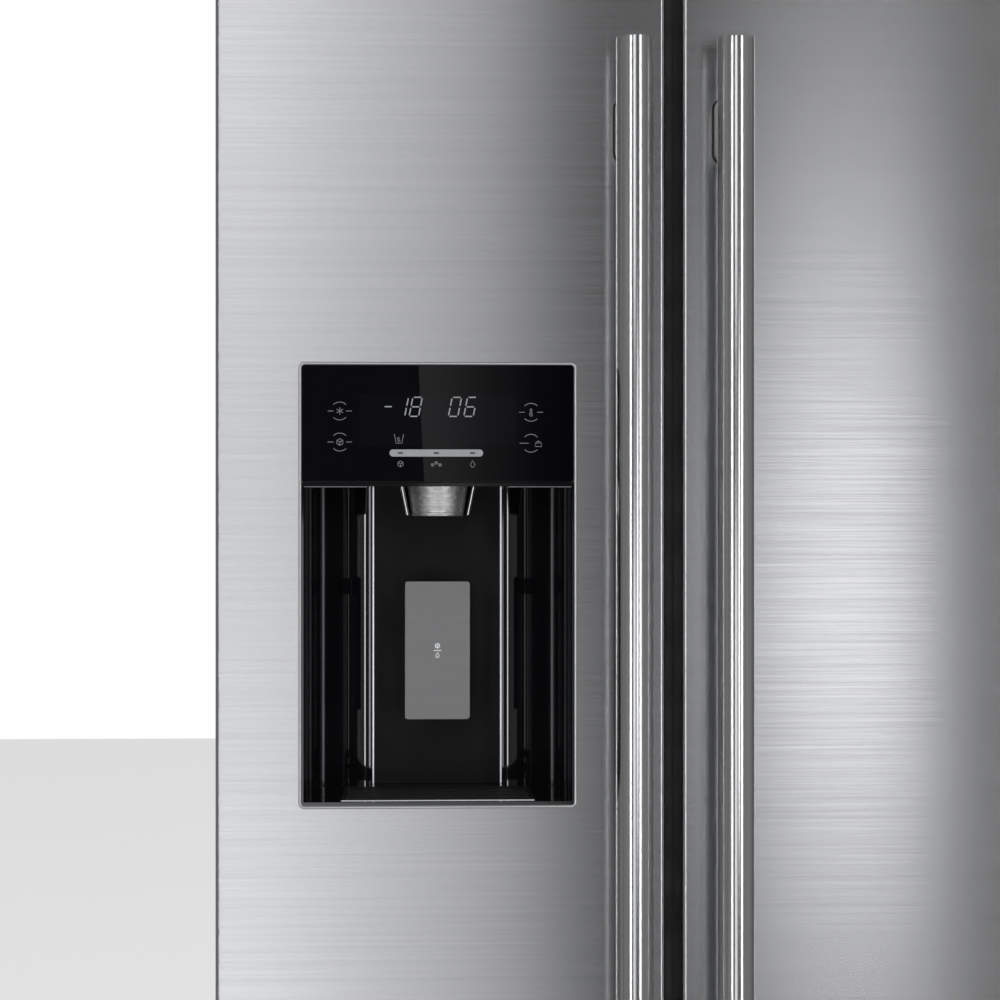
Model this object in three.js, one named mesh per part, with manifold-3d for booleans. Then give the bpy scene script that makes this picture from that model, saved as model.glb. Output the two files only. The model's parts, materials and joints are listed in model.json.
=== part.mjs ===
// Side by side refrigerator with an ice and water dispenser in the freezer door.
// Millimetres. +X is the right-hand side seen from the front, -Y the front, +Z up.
// The origin is the middle of the footprint, on the floor.

import * as THREE from 'three';
import { mergeVertices } from 'three/addons/utils/BufferGeometryUtils.js';
import Module from 'manifold-3d';

const wasm = await Module();
wasm.setup();

// ---------------------------------------------------------------- dimensions

const WIDTH = 910;
const DEPTH = 740;
const HEIGHT = 1780;
const GAP = 0.4; // clearance between pieces that touch on the real object

// Depth stack, front to back
const BAR_RADIUS = 16;
const BAR_STANDOFF = 30;
const BAR_Y = -DEPTH / 2 + BAR_RADIUS;
const DOOR_FRONT = -DEPTH / 2 + 2 * BAR_RADIUS + BAR_STANDOFF;
const DOOR_BACK = DOOR_FRONT + 66;
const GASKET_DEPTH = 12;
const CABINET_FRONT = DOOR_BACK + GASKET_DEPTH;
const CABINET_BACK = DEPTH / 2;

// Cabinet
const CABINET_X = [-450, 450];
const CABINET_Z = [40, 1750];
const SHEET = 4;
const SILL_Z = 85; // underside of the insulated box
const FREEZER_X = [-405, -91];
const FRIDGE_X = [-21, 405];
const CAVITY_Z = [125, 1700];
const CAVITY_BACK = 310;
const STEP_Y = 95; // behind this the floor steps up over the machine space
const STEP_Z = 345;
const LINER = 3;
const MACHINE_Y = 140;
const MACHINE_TOP = 300;
const LEDGE = 8;
const INSIDE_X = grow(CABINET_X, -SHEET - GAP); // between the side sheets
const BACK_SHEET_Y = [CABINET_BACK - 3.6, CABINET_BACK - GAP];
const INSIDE_BACK = BACK_SHEET_Y[0] - GAP;

// Base and machine space
const PAN_FRONT = -222;
const PAN_Z = [56, SILL_Z - GAP];
const PAN_RAIL = 60.6; // width of a side rail
const PAN_SHEET = 4;
const PAN_TOP = PAN_Z[0] + PAN_SHEET + GAP; // what stands on the floor of the machine space
const TOE_Y = [-236, -226];
const TOE_Z = [14, 55];
const COVER_BOTTOM = 42;
const INLET = [330, 120]; // x and z of the cord inlet
const INLET_RADIUS = 14;
const COMPRESSOR_PLACE = [-230, 250, 0];
const CONDENSER = { x: [60, 270], y: [180, 325], top: 200, fins: 6 };
const CONDENSER_TUBES = [[215, 95], [290, 95], [215, 165], [290, 165]];
const CONDENSER_FAN_CENTRE = [252, 134];
const CONDENSER_FAN_X = 38;

// Doors
const DOOR_Z = [70, 1748];
const DOOR_SKIN = 2;
const DOOR_CORNER = 5;
const FREEZER_DOOR_X = [-WIDTH / 2, -63];
const FRIDGE_DOOR_X = [-48, WIDTH / 2];
const PIN_X = 437; // hinge pins, left and right of the middle
const PIN_Y = -275;
const PIN_RADIUS = 6;
const PIN_HOLE = 7.5;
const FREEZER_RIDGES = [[-395, -381], [-126, -112]];
const FRIDGE_RIDGES = [[4, 18], [381, 395]];
const RIDGE_Z = [140, 1690];
const RIDGE_BACK = -180;
const BIN_HEIGHT = 115;
const FREEZER_BIN_BACK = -150;
const FRIDGE_BIN_BACK = -140;
const FREEZER_BIN_LEVELS = [1500, 620];
const FRIDGE_BIN_LEVELS = [1400, 760];
const BIN_WALL = 2.5;

// Hinges; x is the distance from the middle
const TOP_HINGE = { x: [395, 449], y: [-290, -130], z: [CABINET_Z[1] + GAP, 1755] };
const BOTTOM_HINGE = { x: [405, 449], y: [-290, CABINET_FRONT - GAP], z: [62, 67] };
const BOTTOM_HINGE_LEG = { thickness: 4, top: 96 };
const TOP_PIN_Z = [1722, 1752];
const BOTTOM_PIN_Z = [64, 92];
const HINGE_COVER = { x: [380, 454], y: [-300, -120], corner: 10, wall: 3 };

// Handles
const BAR_X = [-94.3, -7.5];
const BAR_Z = [525, 1614.4];
const POST_INSET = 72.4;
const POST_WIDTH = 26;
const POST_HEIGHT = 54;

// Dispenser
const DISPENSER_X = -261.6;
const DISPENSER_HALF = 121;
const DISPENSER_Z = [951.5, 1340];
const BEZEL_WIDTH = 1.5;
const PANEL_BOTTOM = 1235.4;
const NICHE_HALF = 117; // half width at the front of the niche
const STRIP_HALF = 58.6; // half width of its flat back
const NICHE_DEPTH = 125;
const NICHE_FLOOR = 957;
const NICHE_WALL = 1.6;
const GRILLE_HALF = 85.5;
const GRILLE_Y = [-300, -201];
const GRILLE_BOTTOM = 953.4;
const TRAY_BOTTOM = 930;
const CHUTE_Y = -246;
const CHUTE_RADIUS = 28;
const CHUTE_MOUTH_RADIUS = 23;
const CHUTE_MOUTH_Z = 1205.6;
const CHUTE_WALL = 1.6;
const POCKET_HALF = 42;
const POCKET_Z = [1345, 1425];
const POCKET_FRONT = -280;
const BULGE_Z = [925, 1440];
const BULGE_BACK = -148;
const PADDLE_HALF = 29.8;
const PADDLE_Z = [1020.3, 1146.4];
const PADDLE_FRONT = -226;
const PADDLE_PIVOT_Y = -214;
const PADDLE_PIVOT_Z = 1137.4;
const PIVOT_RADIUS = 2.4;
const EAR = [15.4, 19]; // inner and outer side of a pivot ear

// Inside the compartments
const SHELF_THICKNESS = 14;
const FREEZER_SHELF_LEVEL = 900;
const FRIDGE_SHELF_LEVELS = [566, 900, 1250];
const SHELF_FRONT = -115;
const DRAWER_WALL = 2.5;
const UPPER_DRAWER = { y: [-120, 250], z: [352, 545] };
const LOWER_DRAWER = { y: [-120, 88], z: [132, 330] };
const EVAPORATOR_COVER_Y = 264;
const EVAPORATOR = { x: [-388, -108], y: [272, 304], z: [520, 900] };
const EVAPORATOR_TUBES = [[288, 560], [288, 710], [288, 860]];
const COVER_TOP = 1560;
const FAN_Z = 1120;
const FAN_Y = 284;
const ICE_MOULD = { x: [-380, -160], y: [110, 235], z: [1600, 1640] };
const ICE_DRIVE = { x: [-165, -120], y: [105, 240], z: [1590, 1668] };
const ICE_BIN = { x: [-404, -92], y: [-112, 250], z: [1382, 1560] };
const AUGER_RADIUS = 33;
const AUGER_LENGTH = 300;
const AUGER_TURNS = 4;
const WIRE_RADIUS = 4;
const SHAFT_RADIUS = 6;
const AUGER_PLACE = [DISPENSER_X, 50, ICE_BIN.z[0] + 40];

// Floor contact
const FOOT_X = 405;
const FOOT_Y = -200;
const ROLLER_X = 415;
const ROLLER_Y = 320;
const ROLLER_RADIUS = 20;
const AXLE_RADIUS = 3;
const STEM_RADIUS = 6;

// ------------------------------------------------------------------- helpers

/** Turns a closed three.js geometry into a solid that can be joined and cut. */
function solid(geometry) {
  const bare = geometry.clone();
  bare.deleteAttribute('normal');
  bare.deleteAttribute('uv');
  const merged = mergeVertices(bare, 1e-3);
  return new wasm.Manifold(new wasm.Mesh({
    numProp: 3,
    vertProperties: Float32Array.from(merged.attributes.position.array),
    triVerts: Uint32Array.from(merged.index.array),
  }));
}

/** Turns a solid back into a three.js geometry. */
function geometryOf(body) {
  const { vertProperties, triVerts } = body.getMesh();
  const geometry = new THREE.BufferGeometry();
  geometry.setAttribute('position', new THREE.BufferAttribute(vertProperties, 3));
  geometry.setIndex(new THREE.BufferAttribute(triVerts, 1));
  geometry.computeVertexNormals();
  return geometry;
}

/** Upright block between three pairs of limits. */
function box([x0, x1], [y0, y1], [z0, z1]) {
  const block = new THREE.BoxGeometry(x1 - x0, y1 - y0, z1 - z0);
  block.translate((x0 + x1) / 2, (y0 + y1) / 2, (z0 + z1) / 2);
  return solid(block);
}

/** Round rod along one axis; (u, v) is its place on the other two, in x, y, z order. */
function rod(axis, [from, to], [u, v], radius, sides = 16) {
  const cylinder = new THREE.CylinderGeometry(radius, radius, to - from, sides);
  const middle = (from + to) / 2;
  if (axis === 'x') {
    cylinder.rotateZ(Math.PI / 2).translate(middle, u, v);
  } else if (axis === 'y') {
    cylinder.translate(u, middle, v);
  } else {
    cylinder.rotateX(Math.PI / 2).translate(u, v, middle);
  }
  return solid(cylinder);
}

/** Outline in the XY plane raised from z0 to z1. */
function raised(shape, [z0, z1], curveSegments = 3) {
  const prism = new THREE.ExtrudeGeometry(shape, { depth: z1 - z0, bevelEnabled: false, curveSegments });
  return solid(prism.translate(0, 0, z0));
}

/** Outline drawn in X and Z, given thickness from y0 to y1. */
function upright(shape, [y0, y1], curveSegments = 3) {
  const prism = new THREE.ExtrudeGeometry(shape, { depth: y1 - y0, bevelEnabled: false, curveSegments });
  return solid(prism.rotateX(Math.PI / 2).translate(0, y1, 0));
}

/** Body of revolution about a vertical axis; outline points are [radius, z]. */
function turned(outline, sides) {
  const points = outline.map(([radius, z]) => new THREE.Vector2(radius, z));
  return solid(new THREE.LatheGeometry(points, sides).rotateX(Math.PI / 2));
}

/** Rectangle with rounded corners. */
function roundedRectangle([x0, x1], [y0, y1], radius) {
  const shape = new THREE.Shape();
  shape.moveTo(x0 + radius, y0);
  shape.lineTo(x1 - radius, y0);
  shape.absarc(x1 - radius, y0 + radius, radius, -Math.PI / 2, 0);
  shape.lineTo(x1, y1 - radius);
  shape.absarc(x1 - radius, y1 - radius, radius, 0, Math.PI / 2);
  shape.lineTo(x0 + radius, y1);
  shape.absarc(x0 + radius, y1 - radius, radius, Math.PI / 2, Math.PI);
  shape.lineTo(x0, y0 + radius);
  shape.absarc(x0 + radius, y0 + radius, radius, Math.PI, Math.PI * 1.5);
  return shape;
}

/** Makes a range wider by the same amount at both ends. */
function grow([low, high], amount) {
  return [low - amount, high + amount];
}

/** Range at both sides of one value. */
function around(middle, half) {
  return [middle - half, middle + half];
}

/** Range on the left or right of the middle, given as distances from it. */
function sided(side, [near, far]) {
  return side < 0 ? [-far, -near] : [near, far];
}

/** Joins a list of solids. */
function join(bodies) {
  return bodies.reduce((whole, body) => whole.add(body));
}

/** Cuts a list of solids out of a body. */
function cut(body, tools) {
  return tools.reduce((rest, tool) => rest.subtract(tool), body);
}

/** Plain finish for one material. */
function finish(color, roughness, metalness) {
  return new THREE.MeshStandardMaterial({ color, roughness, metalness });
}

const stainless = finish(0xb4b7bb, 0.34, 1.0);
const handleSteel = finish(0xc9cbcd, 0.22, 1.0);
const postGrey = finish(0xa9acb0, 0.4, 0.8);
const cabinetPaint = finish(0x8e9195, 0.5, 0.3);
const linerWhite = finish(0xf1f3f4, 0.35, 0.0);
const foamTan = finish(0xe4d9a8, 0.9, 0.0);
const gasketGrey = finish(0x9fa2a5, 0.7, 0.0);
const glossBlack = finish(0x08090a, 0.06, 0.0);
const bezelChrome = finish(0xd6d8da, 0.2, 1.0);
const chuteSteel = finish(0x8d9094, 0.35, 1.0);
const paddleGrey = finish(0x63676b, 0.4, 0.2);
const clearPlastic = finish(0xdfeaf0, 0.1, 0.0);
const shelfGlass = finish(0xcfe3de, 0.05, 0.0);
const darkPlastic = finish(0x2b2d30, 0.55, 0.0);
const greyPlastic = finish(0x7c8084, 0.5, 0.0);
const galvanised = finish(0xb0b4b6, 0.45, 0.9);
const aluminium = finish(0xc3c6c8, 0.4, 1.0);
const compressorBlack = finish(0x15161a, 0.4, 0.2);
const tyreRubber = finish(0x242527, 0.8, 0.0);

/** Adds one named piece to a group. */
function piece(parent, name, body, material, position = [0, 0, 0]) {
  const mesh = new THREE.Mesh(geometryOf(body), material);
  mesh.name = name;
  mesh.position.set(...position);
  parent.add(mesh);
}

// ------------------------------------------------------------ cabinet pieces

/** Inside space of a compartment, made wider all round, starting at a front plane. */
function compartment(x, extra, front) {
  const wide = grow(x, extra);
  const top = CAVITY_Z[1] + extra;
  const low = box(wide, [front, STEP_Y + extra], [CAVITY_Z[0] - extra, top]);
  const high = box(wide, [front, CAVITY_BACK + extra], [STEP_Z - extra, top]);
  return low.add(high);
}

/** Moulded inner wall of a compartment with ledges that carry what stands on them. */
function liner(x, ledges) {
  const wall = compartment(x, LINER, CABINET_FRONT + GAP);
  const hollow = wall.subtract(compartment(x, 0, CABINET_FRONT - 1));
  const rails = ledges.flatMap(({ y, z }) => [
    box([x[0] - 1, x[0] + LEDGE], y, [z - LEDGE, z - GAP]),
    box([x[1] - LEDGE, x[1] + 1], y, [z - LEDGE, z - GAP]),
  ]);
  return join([hollow, ...rails]);
}

/** Painted steel wrapper: sides, top and the front frame that the gaskets seal on. */
function cabinetShell() {
  const outer = box(CABINET_X, [CABINET_FRONT, CABINET_BACK], CABINET_Z);
  const inner = box(
    grow(CABINET_X, -SHEET),
    [CABINET_FRONT + SHEET, CABINET_BACK + 1],
    [CABINET_Z[0] - 1, CABINET_Z[1] - SHEET],
  );
  const windowCut = (x) => box(
    grow(x, LINER + GAP),
    [CABINET_FRONT - 1, CABINET_FRONT + SHEET + 1],
    grow(CAVITY_Z, LINER + GAP),
  );
  const toeCut = box(
    grow(CABINET_X, -SHEET),
    [CABINET_FRONT - 1, CABINET_FRONT + SHEET + 1],
    [CABINET_Z[0] - 1, SILL_Z],
  );
  return cut(outer, [inner, windowCut(FREEZER_X), windowCut(FRIDGE_X), toeCut]);
}

/** Foam that fills the walls between the wrapper and the two liners. */
function insulation() {
  const block = box(
    INSIDE_X,
    [CABINET_FRONT + SHEET + GAP, INSIDE_BACK],
    [SILL_Z + GAP, CABINET_Z[1] - SHEET - GAP],
  );
  return cut(block, [
    compartment(FREEZER_X, LINER + GAP, CABINET_FRONT - 10),
    compartment(FRIDGE_X, LINER + GAP, CABINET_FRONT - 10),
    box(CABINET_X, [MACHINE_Y, CABINET_BACK], [0, MACHINE_TOP]),
  ]);
}

/** Steel base: two side rails, front cross member and the floor of the machine space. */
function basePan() {
  const rails = [
    [INSIDE_X[0], INSIDE_X[0] + PAN_RAIL],
    [INSIDE_X[1] - PAN_RAIL, INSIDE_X[1]],
  ].map((x) => box(x, [PAN_FRONT, INSIDE_BACK], PAN_Z));
  const front = box(INSIDE_X, [PAN_FRONT, PAN_FRONT + 42], PAN_Z);
  const floor = box(INSIDE_X, [MACHINE_Y + 4, INSIDE_BACK], [PAN_Z[0], PAN_Z[0] + PAN_SHEET]);
  const wheelWells = [-1, 1].map((side) => box(
    around(side * ROLLER_X, 11),
    around(ROLLER_Y, ROLLER_RADIUS + 4),
    grow(PAN_Z, 6),
  ));
  const forks = [-1, 1].flatMap((side) => [-14, 11].map((offset) => box(
    [side * ROLLER_X + offset, side * ROLLER_X + offset + 3],
    around(ROLLER_Y, 10),
    [12, PAN_Z[0] + 10],
  )));
  const axleHoles = [-1, 1].map((side) => rod(
    'x', around(side * ROLLER_X, 20), [ROLLER_Y, ROLLER_RADIUS], AXLE_RADIUS + 0.6, 10,
  ));
  const footHoles = [-1, 1].map((side) => rod(
    'z', grow(PAN_Z, 6), [side * FOOT_X, FOOT_Y], STEM_RADIUS + 0.5, 12,
  ));
  const body = cut(join([...rails, front, floor]), wheelWells);
  return cut(join([body, ...forks]), [...axleHoles, ...footHoles]);
}

/** Toe grille under the doors, with rows of long slots. */
function kickGrille() {
  const plate = box([-440, 440], TOE_Y, TOE_Z);
  const slots = [];
  for (let row = 0; row < 2; row += 1) {
    const z = TOE_Z[0] + 8 + row * 15;
    for (let column = 0; column < 6; column += 1) {
      const x = -390 + column * 132;
      slots.push(box([x, x + 120], grow(TOE_Y, 5), [z, z + 8]));
    }
  }
  return cut(plate, slots);
}

/** Rear cover of the machine space, with vertical air slots and a hole for the cord inlet. */
function machineCover() {
  const plate = box(INSIDE_X, BACK_SHEET_Y, [COVER_BOTTOM, MACHINE_TOP - GAP]);
  const through = grow(BACK_SHEET_Y, 5);
  const slots = [];
  for (let index = 0; index < 8; index += 1) {
    const x = -380 + index * 80;
    slots.push(box([x, x + 12], through, [90, 250]));
  }
  return cut(plate, [...slots, rod('y', through, INLET, INLET_RADIUS + GAP)]);
}

/** Cord inlet: a flanged gland in the rear cover, with the hole that the cord would use. */
function cordInlet() {
  const barrel = rod('y', [CABINET_BACK - 25, CABINET_BACK], INLET, INLET_RADIUS);
  const flange = rod('y', [INSIDE_BACK - 8, INSIDE_BACK], INLET, INLET_RADIUS + 5);
  const bore = rod('y', [CABINET_BACK - 30, CABINET_BACK + 5], INLET, 4.5, 16);
  return barrel.add(flange).subtract(bore);
}

/** Round welded compressor pot on a footed base plate. */
function compressor() {
  const pot = turned([
    [0, 78], [62, 78], [74, 90], [76, 130], [82, 132], [82, 140], [76, 142],
    [73, 180], [58, 205], [30, 217], [0, 220],
  ], 18);
  const plate = box([-88, 88], [-70, 70], [66, 80]);
  const feet = [-74, 74].flatMap((x) => [-56, 56].map((y) => rod('z', [PAN_TOP, 68], [x, y], 10, 8)));
  return join([pot, plate, ...feet]);
}

/** Tubes run through a stack of flat fins. */
function finBlock({ x, y, z, fins, tubes }) {
  const plates = [];
  for (let index = 0; index < fins; index += 1) {
    const at = x[0] + 8 + (index * (x[1] - x[0] - 18)) / (fins - 1);
    plates.push(box([at, at + 2], y, z));
  }
  const runs = tubes.map(([ty, tz]) => rod('x', x, [ty, tz], 5, 6));
  return join([...runs, ...plates]);
}

/** Axial fan about the X axis: hub and flat twisted blades. */
function fan(radius, depth, blades) {
  const hub = rod('x', [-depth / 2, depth / 2], [0, 0], radius * 0.28, 10);
  const parts = [hub];
  for (let index = 0; index < blades; index += 1) {
    const blade = new THREE.BoxGeometry(1.6, radius * 0.55, radius * 0.8);
    blade.rotateZ(0.45).translate(0, 0, radius * 0.6);
    blade.rotateX((index * 2 * Math.PI) / blades);
    parts.push(solid(blade));
  }
  return join(parts);
}

/** Condenser coil with the frame, spokes and motor that carry its fan. */
function condenser() {
  const { x, y, top, fins } = CONDENSER;
  const z = [PAN_TOP, top];
  const [fanY, fanZ] = CONDENSER_FAN_CENTRE;
  const frameX = around(x[0] + 1, 3);
  const coil = finBlock({ x, y, z, fins, tubes: CONDENSER_TUBES });
  const plate = box(frameX, [y[0] - 6, y[1] + 5], [z[0], z[1] + 6]);
  const opening = rod('x', grow(frameX, 5), CONDENSER_FAN_CENTRE, 62, 20);
  const spoke = box(frameX, around(fanY, 68), around(fanZ, 5));
  const motor = rod('x', [frameX[0] - 10, frameX[1]], CONDENSER_FAN_CENTRE, 16, 10);
  const shroud = [[y[0], y[0] + 4], [y[1] - 4, y[1]]].map((side) => box([x[0] + 2, x[0] + 12], side, z));
  return join([coil, plate.subtract(opening), spoke, motor, ...shroud]);
}

/** Panel in front of the evaporator, with air slots and a ring with spokes for its fan. */
function evaporatorCover() {
  const x = grow(FREEZER_X, -LEDGE - 1);
  const middle = (FREEZER_X[0] + FREEZER_X[1]) / 2;
  const y = [EVAPORATOR_COVER_Y, EVAPORATOR_COVER_Y + 4];
  const z = [STEP_Z + 1, COVER_TOP];
  const through = grow(y, 12);
  const slots = [400, 430, 460].map((low) => box(around(middle, 100), through, [low, low + 10]));
  const opening = rod('y', through, [middle, FAN_Z], 50);
  const spoke = box(around(middle, 55), y, around(FAN_Z, 4));
  const boss = rod('y', [y[0], y[1] + 4], [middle, FAN_Z], 12, 16);
  const flange = [[x[0], x[0] + 3], [x[1] - 3, x[1]]].map(
    (side) => box(side, [y[0], CAVITY_BACK - GAP], z),
  );
  return join([cut(box(x, y, z), [...slots, opening]), spoke, boss, ...flange]);
}

/** Ice maker: a mould with a row of pockets and its drive housing. */
function iceMaker() {
  const { x, y, z } = ICE_MOULD;
  const pockets = [];
  for (let index = 0; index < 7; index += 1) {
    const left = x[0] + 8 + index * 29;
    pockets.push(box([left, left + 24], grow(y, -15), [z[0] + 12, z[1] + 10]));
  }
  const mould = cut(box(x, y, z), pockets);
  const drive = box(ICE_DRIVE.x, ICE_DRIVE.y, ICE_DRIVE.z);
  const hanger = box([x[0], ICE_DRIVE.x[1]], [y[1], CAVITY_BACK - GAP], [z[0], ICE_DRIVE.z[1]]);
  return join([mould, drive, hanger]);
}

/** Ice bin with a front outlet and a hole for the auger's shaft at the back. */
function iceBin() {
  const { x, y, z } = ICE_BIN;
  const inner = box(grow(x, -3), grow(y, -3), [z[0] + 3, z[1] + 1]);
  const outlet = box(around(DISPENSER_X, 30), [y[0] - 1, y[0] + 5], [z[0] + 8, z[0] + 62]);
  const shaftHole = rod('y', around(y[1], 6), [DISPENSER_X, AUGER_PLACE[2]], SHAFT_RADIUS + 0.5, 16);
  return cut(box(x, y, z), [inner, outlet, shaftHole]);
}

/** Centre line of the auger's wire, about the Y axis. */
class Helix extends THREE.Curve {
  getPoint(t, target = new THREE.Vector3()) {
    const angle = t * AUGER_TURNS * 2 * Math.PI;
    const reach = AUGER_RADIUS - WIRE_RADIUS;
    return target.set(reach * Math.cos(angle), (t - 0.5) * AUGER_LENGTH, reach * Math.sin(angle));
  }
}

/** Wire helix on a central shaft that pushes ice to the outlet. */
function iceAuger() {
  const section = new THREE.Shape();
  section.absarc(0, 0, WIRE_RADIUS, 0, 2 * Math.PI);
  const wire = new THREE.ExtrudeGeometry(section, {
    steps: AUGER_TURNS * 10, curveSegments: 3, extrudePath: new Helix(),
  });
  const end = AUGER_LENGTH / 2;
  const shaft = rod('y', [-end - 8, end + 45], [0, 0], SHAFT_RADIUS, 8);
  const arms = [-end, end].map((y) => box([0, AUGER_RADIUS - WIRE_RADIUS], around(y, 3), [-3, 3]));
  return join([solid(wire), shaft, ...arms]);
}

/** Shelf with a raised front and back edge; it stands on the liner's ledges. */
function shelf(x, y, z) {
  const plate = box(grow(x, -1), y, [z, z + 5]);
  const front = box(grow(x, -1), [y[0], y[0] + 10], [z, z + SHELF_THICKNESS]);
  const back = box(grow(x, -1), [y[1] - 6, y[1]], [z, z + SHELF_THICKNESS]);
  return join([plate, front, back]);
}

/** Open drawer with a front grip lip. */
function drawer(x, { y, z }) {
  const sides = grow(x, -LEDGE - 1.5);
  const outer = box(sides, y, z);
  const inner = box(grow(sides, -DRAWER_WALL), grow(y, -DRAWER_WALL), [z[0] + DRAWER_WALL, z[1] + 1]);
  const grip = box(around((x[0] + x[1]) / 2, 70), [y[0] - 10, y[0] + 1], [z[1] - 22, z[1] - 16]);
  return cut(outer, [inner]).add(grip);
}

/** Top hinge: plate screwed on the cabinet top with a pin down into the door. */
function topHinge(side) {
  const plate = box(sided(side, TOP_HINGE.x), TOP_HINGE.y, TOP_HINGE.z);
  return plate.add(rod('z', TOP_PIN_Z, [side * PIN_X, PIN_Y], PIN_RADIUS));
}

/** Bottom hinge: angle bracket on the cabinet front with a pin up into the door. */
function bottomHinge(side) {
  const { x, y, z } = BOTTOM_HINGE;
  const plate = box(sided(side, x), y, z);
  const leg = box(sided(side, x), [y[1] - BOTTOM_HINGE_LEG.thickness, y[1]], [z[0], BOTTOM_HINGE_LEG.top]);
  return join([plate, leg, rod('z', BOTTOM_PIN_Z, [side * PIN_X, PIN_Y], PIN_RADIUS)]);
}

/** Hollow plastic cover over a top hinge. */
function hingeCover(side) {
  const { y, corner, wall } = HINGE_COVER;
  const x = sided(side, HINGE_COVER.x);
  const outer = raised(roundedRectangle(x, y, corner), [CABINET_Z[1] + GAP, HEIGHT]);
  const inner = roundedRectangle(grow(x, -wall), grow(y, -wall), corner - 2);
  return outer.subtract(raised(inner, [CABINET_Z[1] - 10, HEIGHT - wall]));
}

/** Levelling foot: round pad on a threaded stem. */
function foot() {
  return turned([
    [0, 0], [19, 0], [21, 3], [21, 12], [16, 18], [STEM_RADIUS, 20], [STEM_RADIUS, 80], [0, 80],
  ], 12);
}

/** Rear roller with its axle, about the X axis. */
function roller() {
  const wheel = rod('x', [-9, 9], [0, 0], ROLLER_RADIUS, 20);
  return wheel.add(rod('x', [-13.5, 13.5], [0, 0], AXLE_RADIUS, 10));
}

// --------------------------------------------------------------- door pieces

/** Folded stainless front: face, rounded vertical edges, sides and ends, open at the back. */
function doorSkin([x0, x1], side) {
  const radius = DOOR_CORNER;
  const outline = new THREE.Shape();
  outline.moveTo(x0, DOOR_BACK);
  outline.lineTo(x0, DOOR_FRONT + radius);
  outline.absarc(x0 + radius, DOOR_FRONT + radius, radius, Math.PI, Math.PI * 1.5);
  outline.lineTo(x1 - radius, DOOR_FRONT);
  outline.absarc(x1 - radius, DOOR_FRONT + radius, radius, -Math.PI / 2, 0);
  outline.lineTo(x1, DOOR_BACK);
  const inner = box(
    grow([x0, x1], -DOOR_SKIN), [DOOR_FRONT + DOOR_SKIN, DOOR_BACK + 1], grow(DOOR_Z, -DOOR_SKIN),
  );
  return cut(raised(outline, DOOR_Z), [inner, pinHoles(side)]);
}

/** Holes at the top and bottom of a door for its two hinge pins. */
function pinHoles(side) {
  const centre = [side * PIN_X, PIN_Y];
  const top = rod('z', [TOP_PIN_Z[0] - 7, DOOR_Z[1] + 12], centre, PIN_HOLE);
  return top.add(rod('z', [DOOR_Z[0] - 10, BOTTOM_PIN_Z[1] + 6], centre, PIN_HOLE));
}

/** Foam inside a door, between the stainless front and the inner liner. */
function doorFoam(x, side) {
  const block = box(
    grow(x, -DOOR_SKIN - GAP),
    [DOOR_FRONT + DOOR_SKIN + GAP, DOOR_BACK - LINER - GAP],
    grow(DOOR_Z, -DOOR_SKIN - GAP),
  );
  return block.subtract(pinHoles(side));
}

/** Inner door panel with the two upright ridges that carry the bins. */
function doorLiner(x, ridges) {
  const inside = -DOOR_SKIN - GAP;
  const panel = box(grow(x, inside), [DOOR_BACK - LINER, DOOR_BACK], grow(DOOR_Z, inside));
  const uprights = ridges.map((range) => box(range, [DOOR_BACK - 1, RIDGE_BACK], RIDGE_Z));
  return join([panel, ...uprights]);
}

/** Magnetic gasket frame round one compartment's mouth. */
function gasket(x) {
  const y = [DOOR_BACK + GAP, CABINET_FRONT - GAP];
  const outer = box(grow(x, 21), y, grow(CAVITY_Z, 21));
  return outer.subtract(box(grow(x, 6), grow(y, 1), grow(CAVITY_Z, 6)));
}

/** Open bin that hangs between the ridges of a door. */
function doorBin(ridges, back, z) {
  const x = [ridges[0][1] + GAP, ridges[1][0] - GAP];
  const y = [DOOR_BACK + GAP, back];
  const outer = box(x, y, [z, z + BIN_HEIGHT]);
  return outer.subtract(box(grow(x, -BIN_WALL), grow(y, -BIN_WALL), [z + BIN_WALL, z + BIN_HEIGHT + 1]));
}

/** Round handle bar with small chamfers at both ends. */
function handleBar() {
  const [low, high] = BAR_Z;
  return turned([
    [0, low], [BAR_RADIUS - 1, low], [BAR_RADIUS, low + 1],
    [BAR_RADIUS, high - 1], [BAR_RADIUS - 1, high], [0, high],
  ], 24);
}

/** Oblong post between a bar and the door, hollowed to the bar's round back. */
function handlePost(x, z) {
  const wide = around(x, POST_WIDTH / 2);
  const tall = around(z, POST_HEIGHT / 2);
  const back = DOOR_FRONT - GAP;
  const stem = upright(roundedRectangle(wide, tall, 8), [BAR_Y + 8, back]);
  const base = upright(roundedRectangle(grow(wide, 1.5), grow(tall, 1.5), 9), [back - 2, back]);
  const hollow = rod('z', grow(tall, 30), [x, BAR_Y], BAR_RADIUS + 0.6, 24);
  return stem.add(base).subtract(hollow);
}

// ---------------------------------------------------------- dispenser pieces

/** Plan outline of the niche: a flat back strip, elliptical flanks and straight cheeks in front. */
function nicheOutline(extra, cheek) {
  const reach = NICHE_HALF - STRIP_HALF;
  const steps = 10;
  const flank = [];
  for (let index = 0; index <= steps; index += 1) {
    const angle = (index / steps) * (Math.PI / 2);
    flank.push([
      STRIP_HALF + extra + reach * Math.cos(angle),
      DOOR_FRONT + (NICHE_DEPTH + extra) * Math.sin(angle),
    ]);
  }
  if (cheek > 0) {
    flank.unshift([NICHE_HALF + extra, DOOR_FRONT - cheek]);
  }
  const right = flank.map(([x, y]) => new THREE.Vector2(DISPENSER_X + x, y));
  const left = flank.map(([x, y]) => new THREE.Vector2(DISPENSER_X - x, y)).reverse();
  return new THREE.Shape([...right, ...left]);
}

/** Block under the niche floor that holds the drip tray. */
function trayBlock(extra) {
  return box(
    around(DISPENSER_X, GRILLE_HALF + 5 + extra),
    grow([GRILLE_Y[0] - 3, GRILLE_Y[1] + 4], extra),
    grow([TRAY_BOTTOM, NICHE_FLOOR - 1], extra),
  );
}

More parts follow.
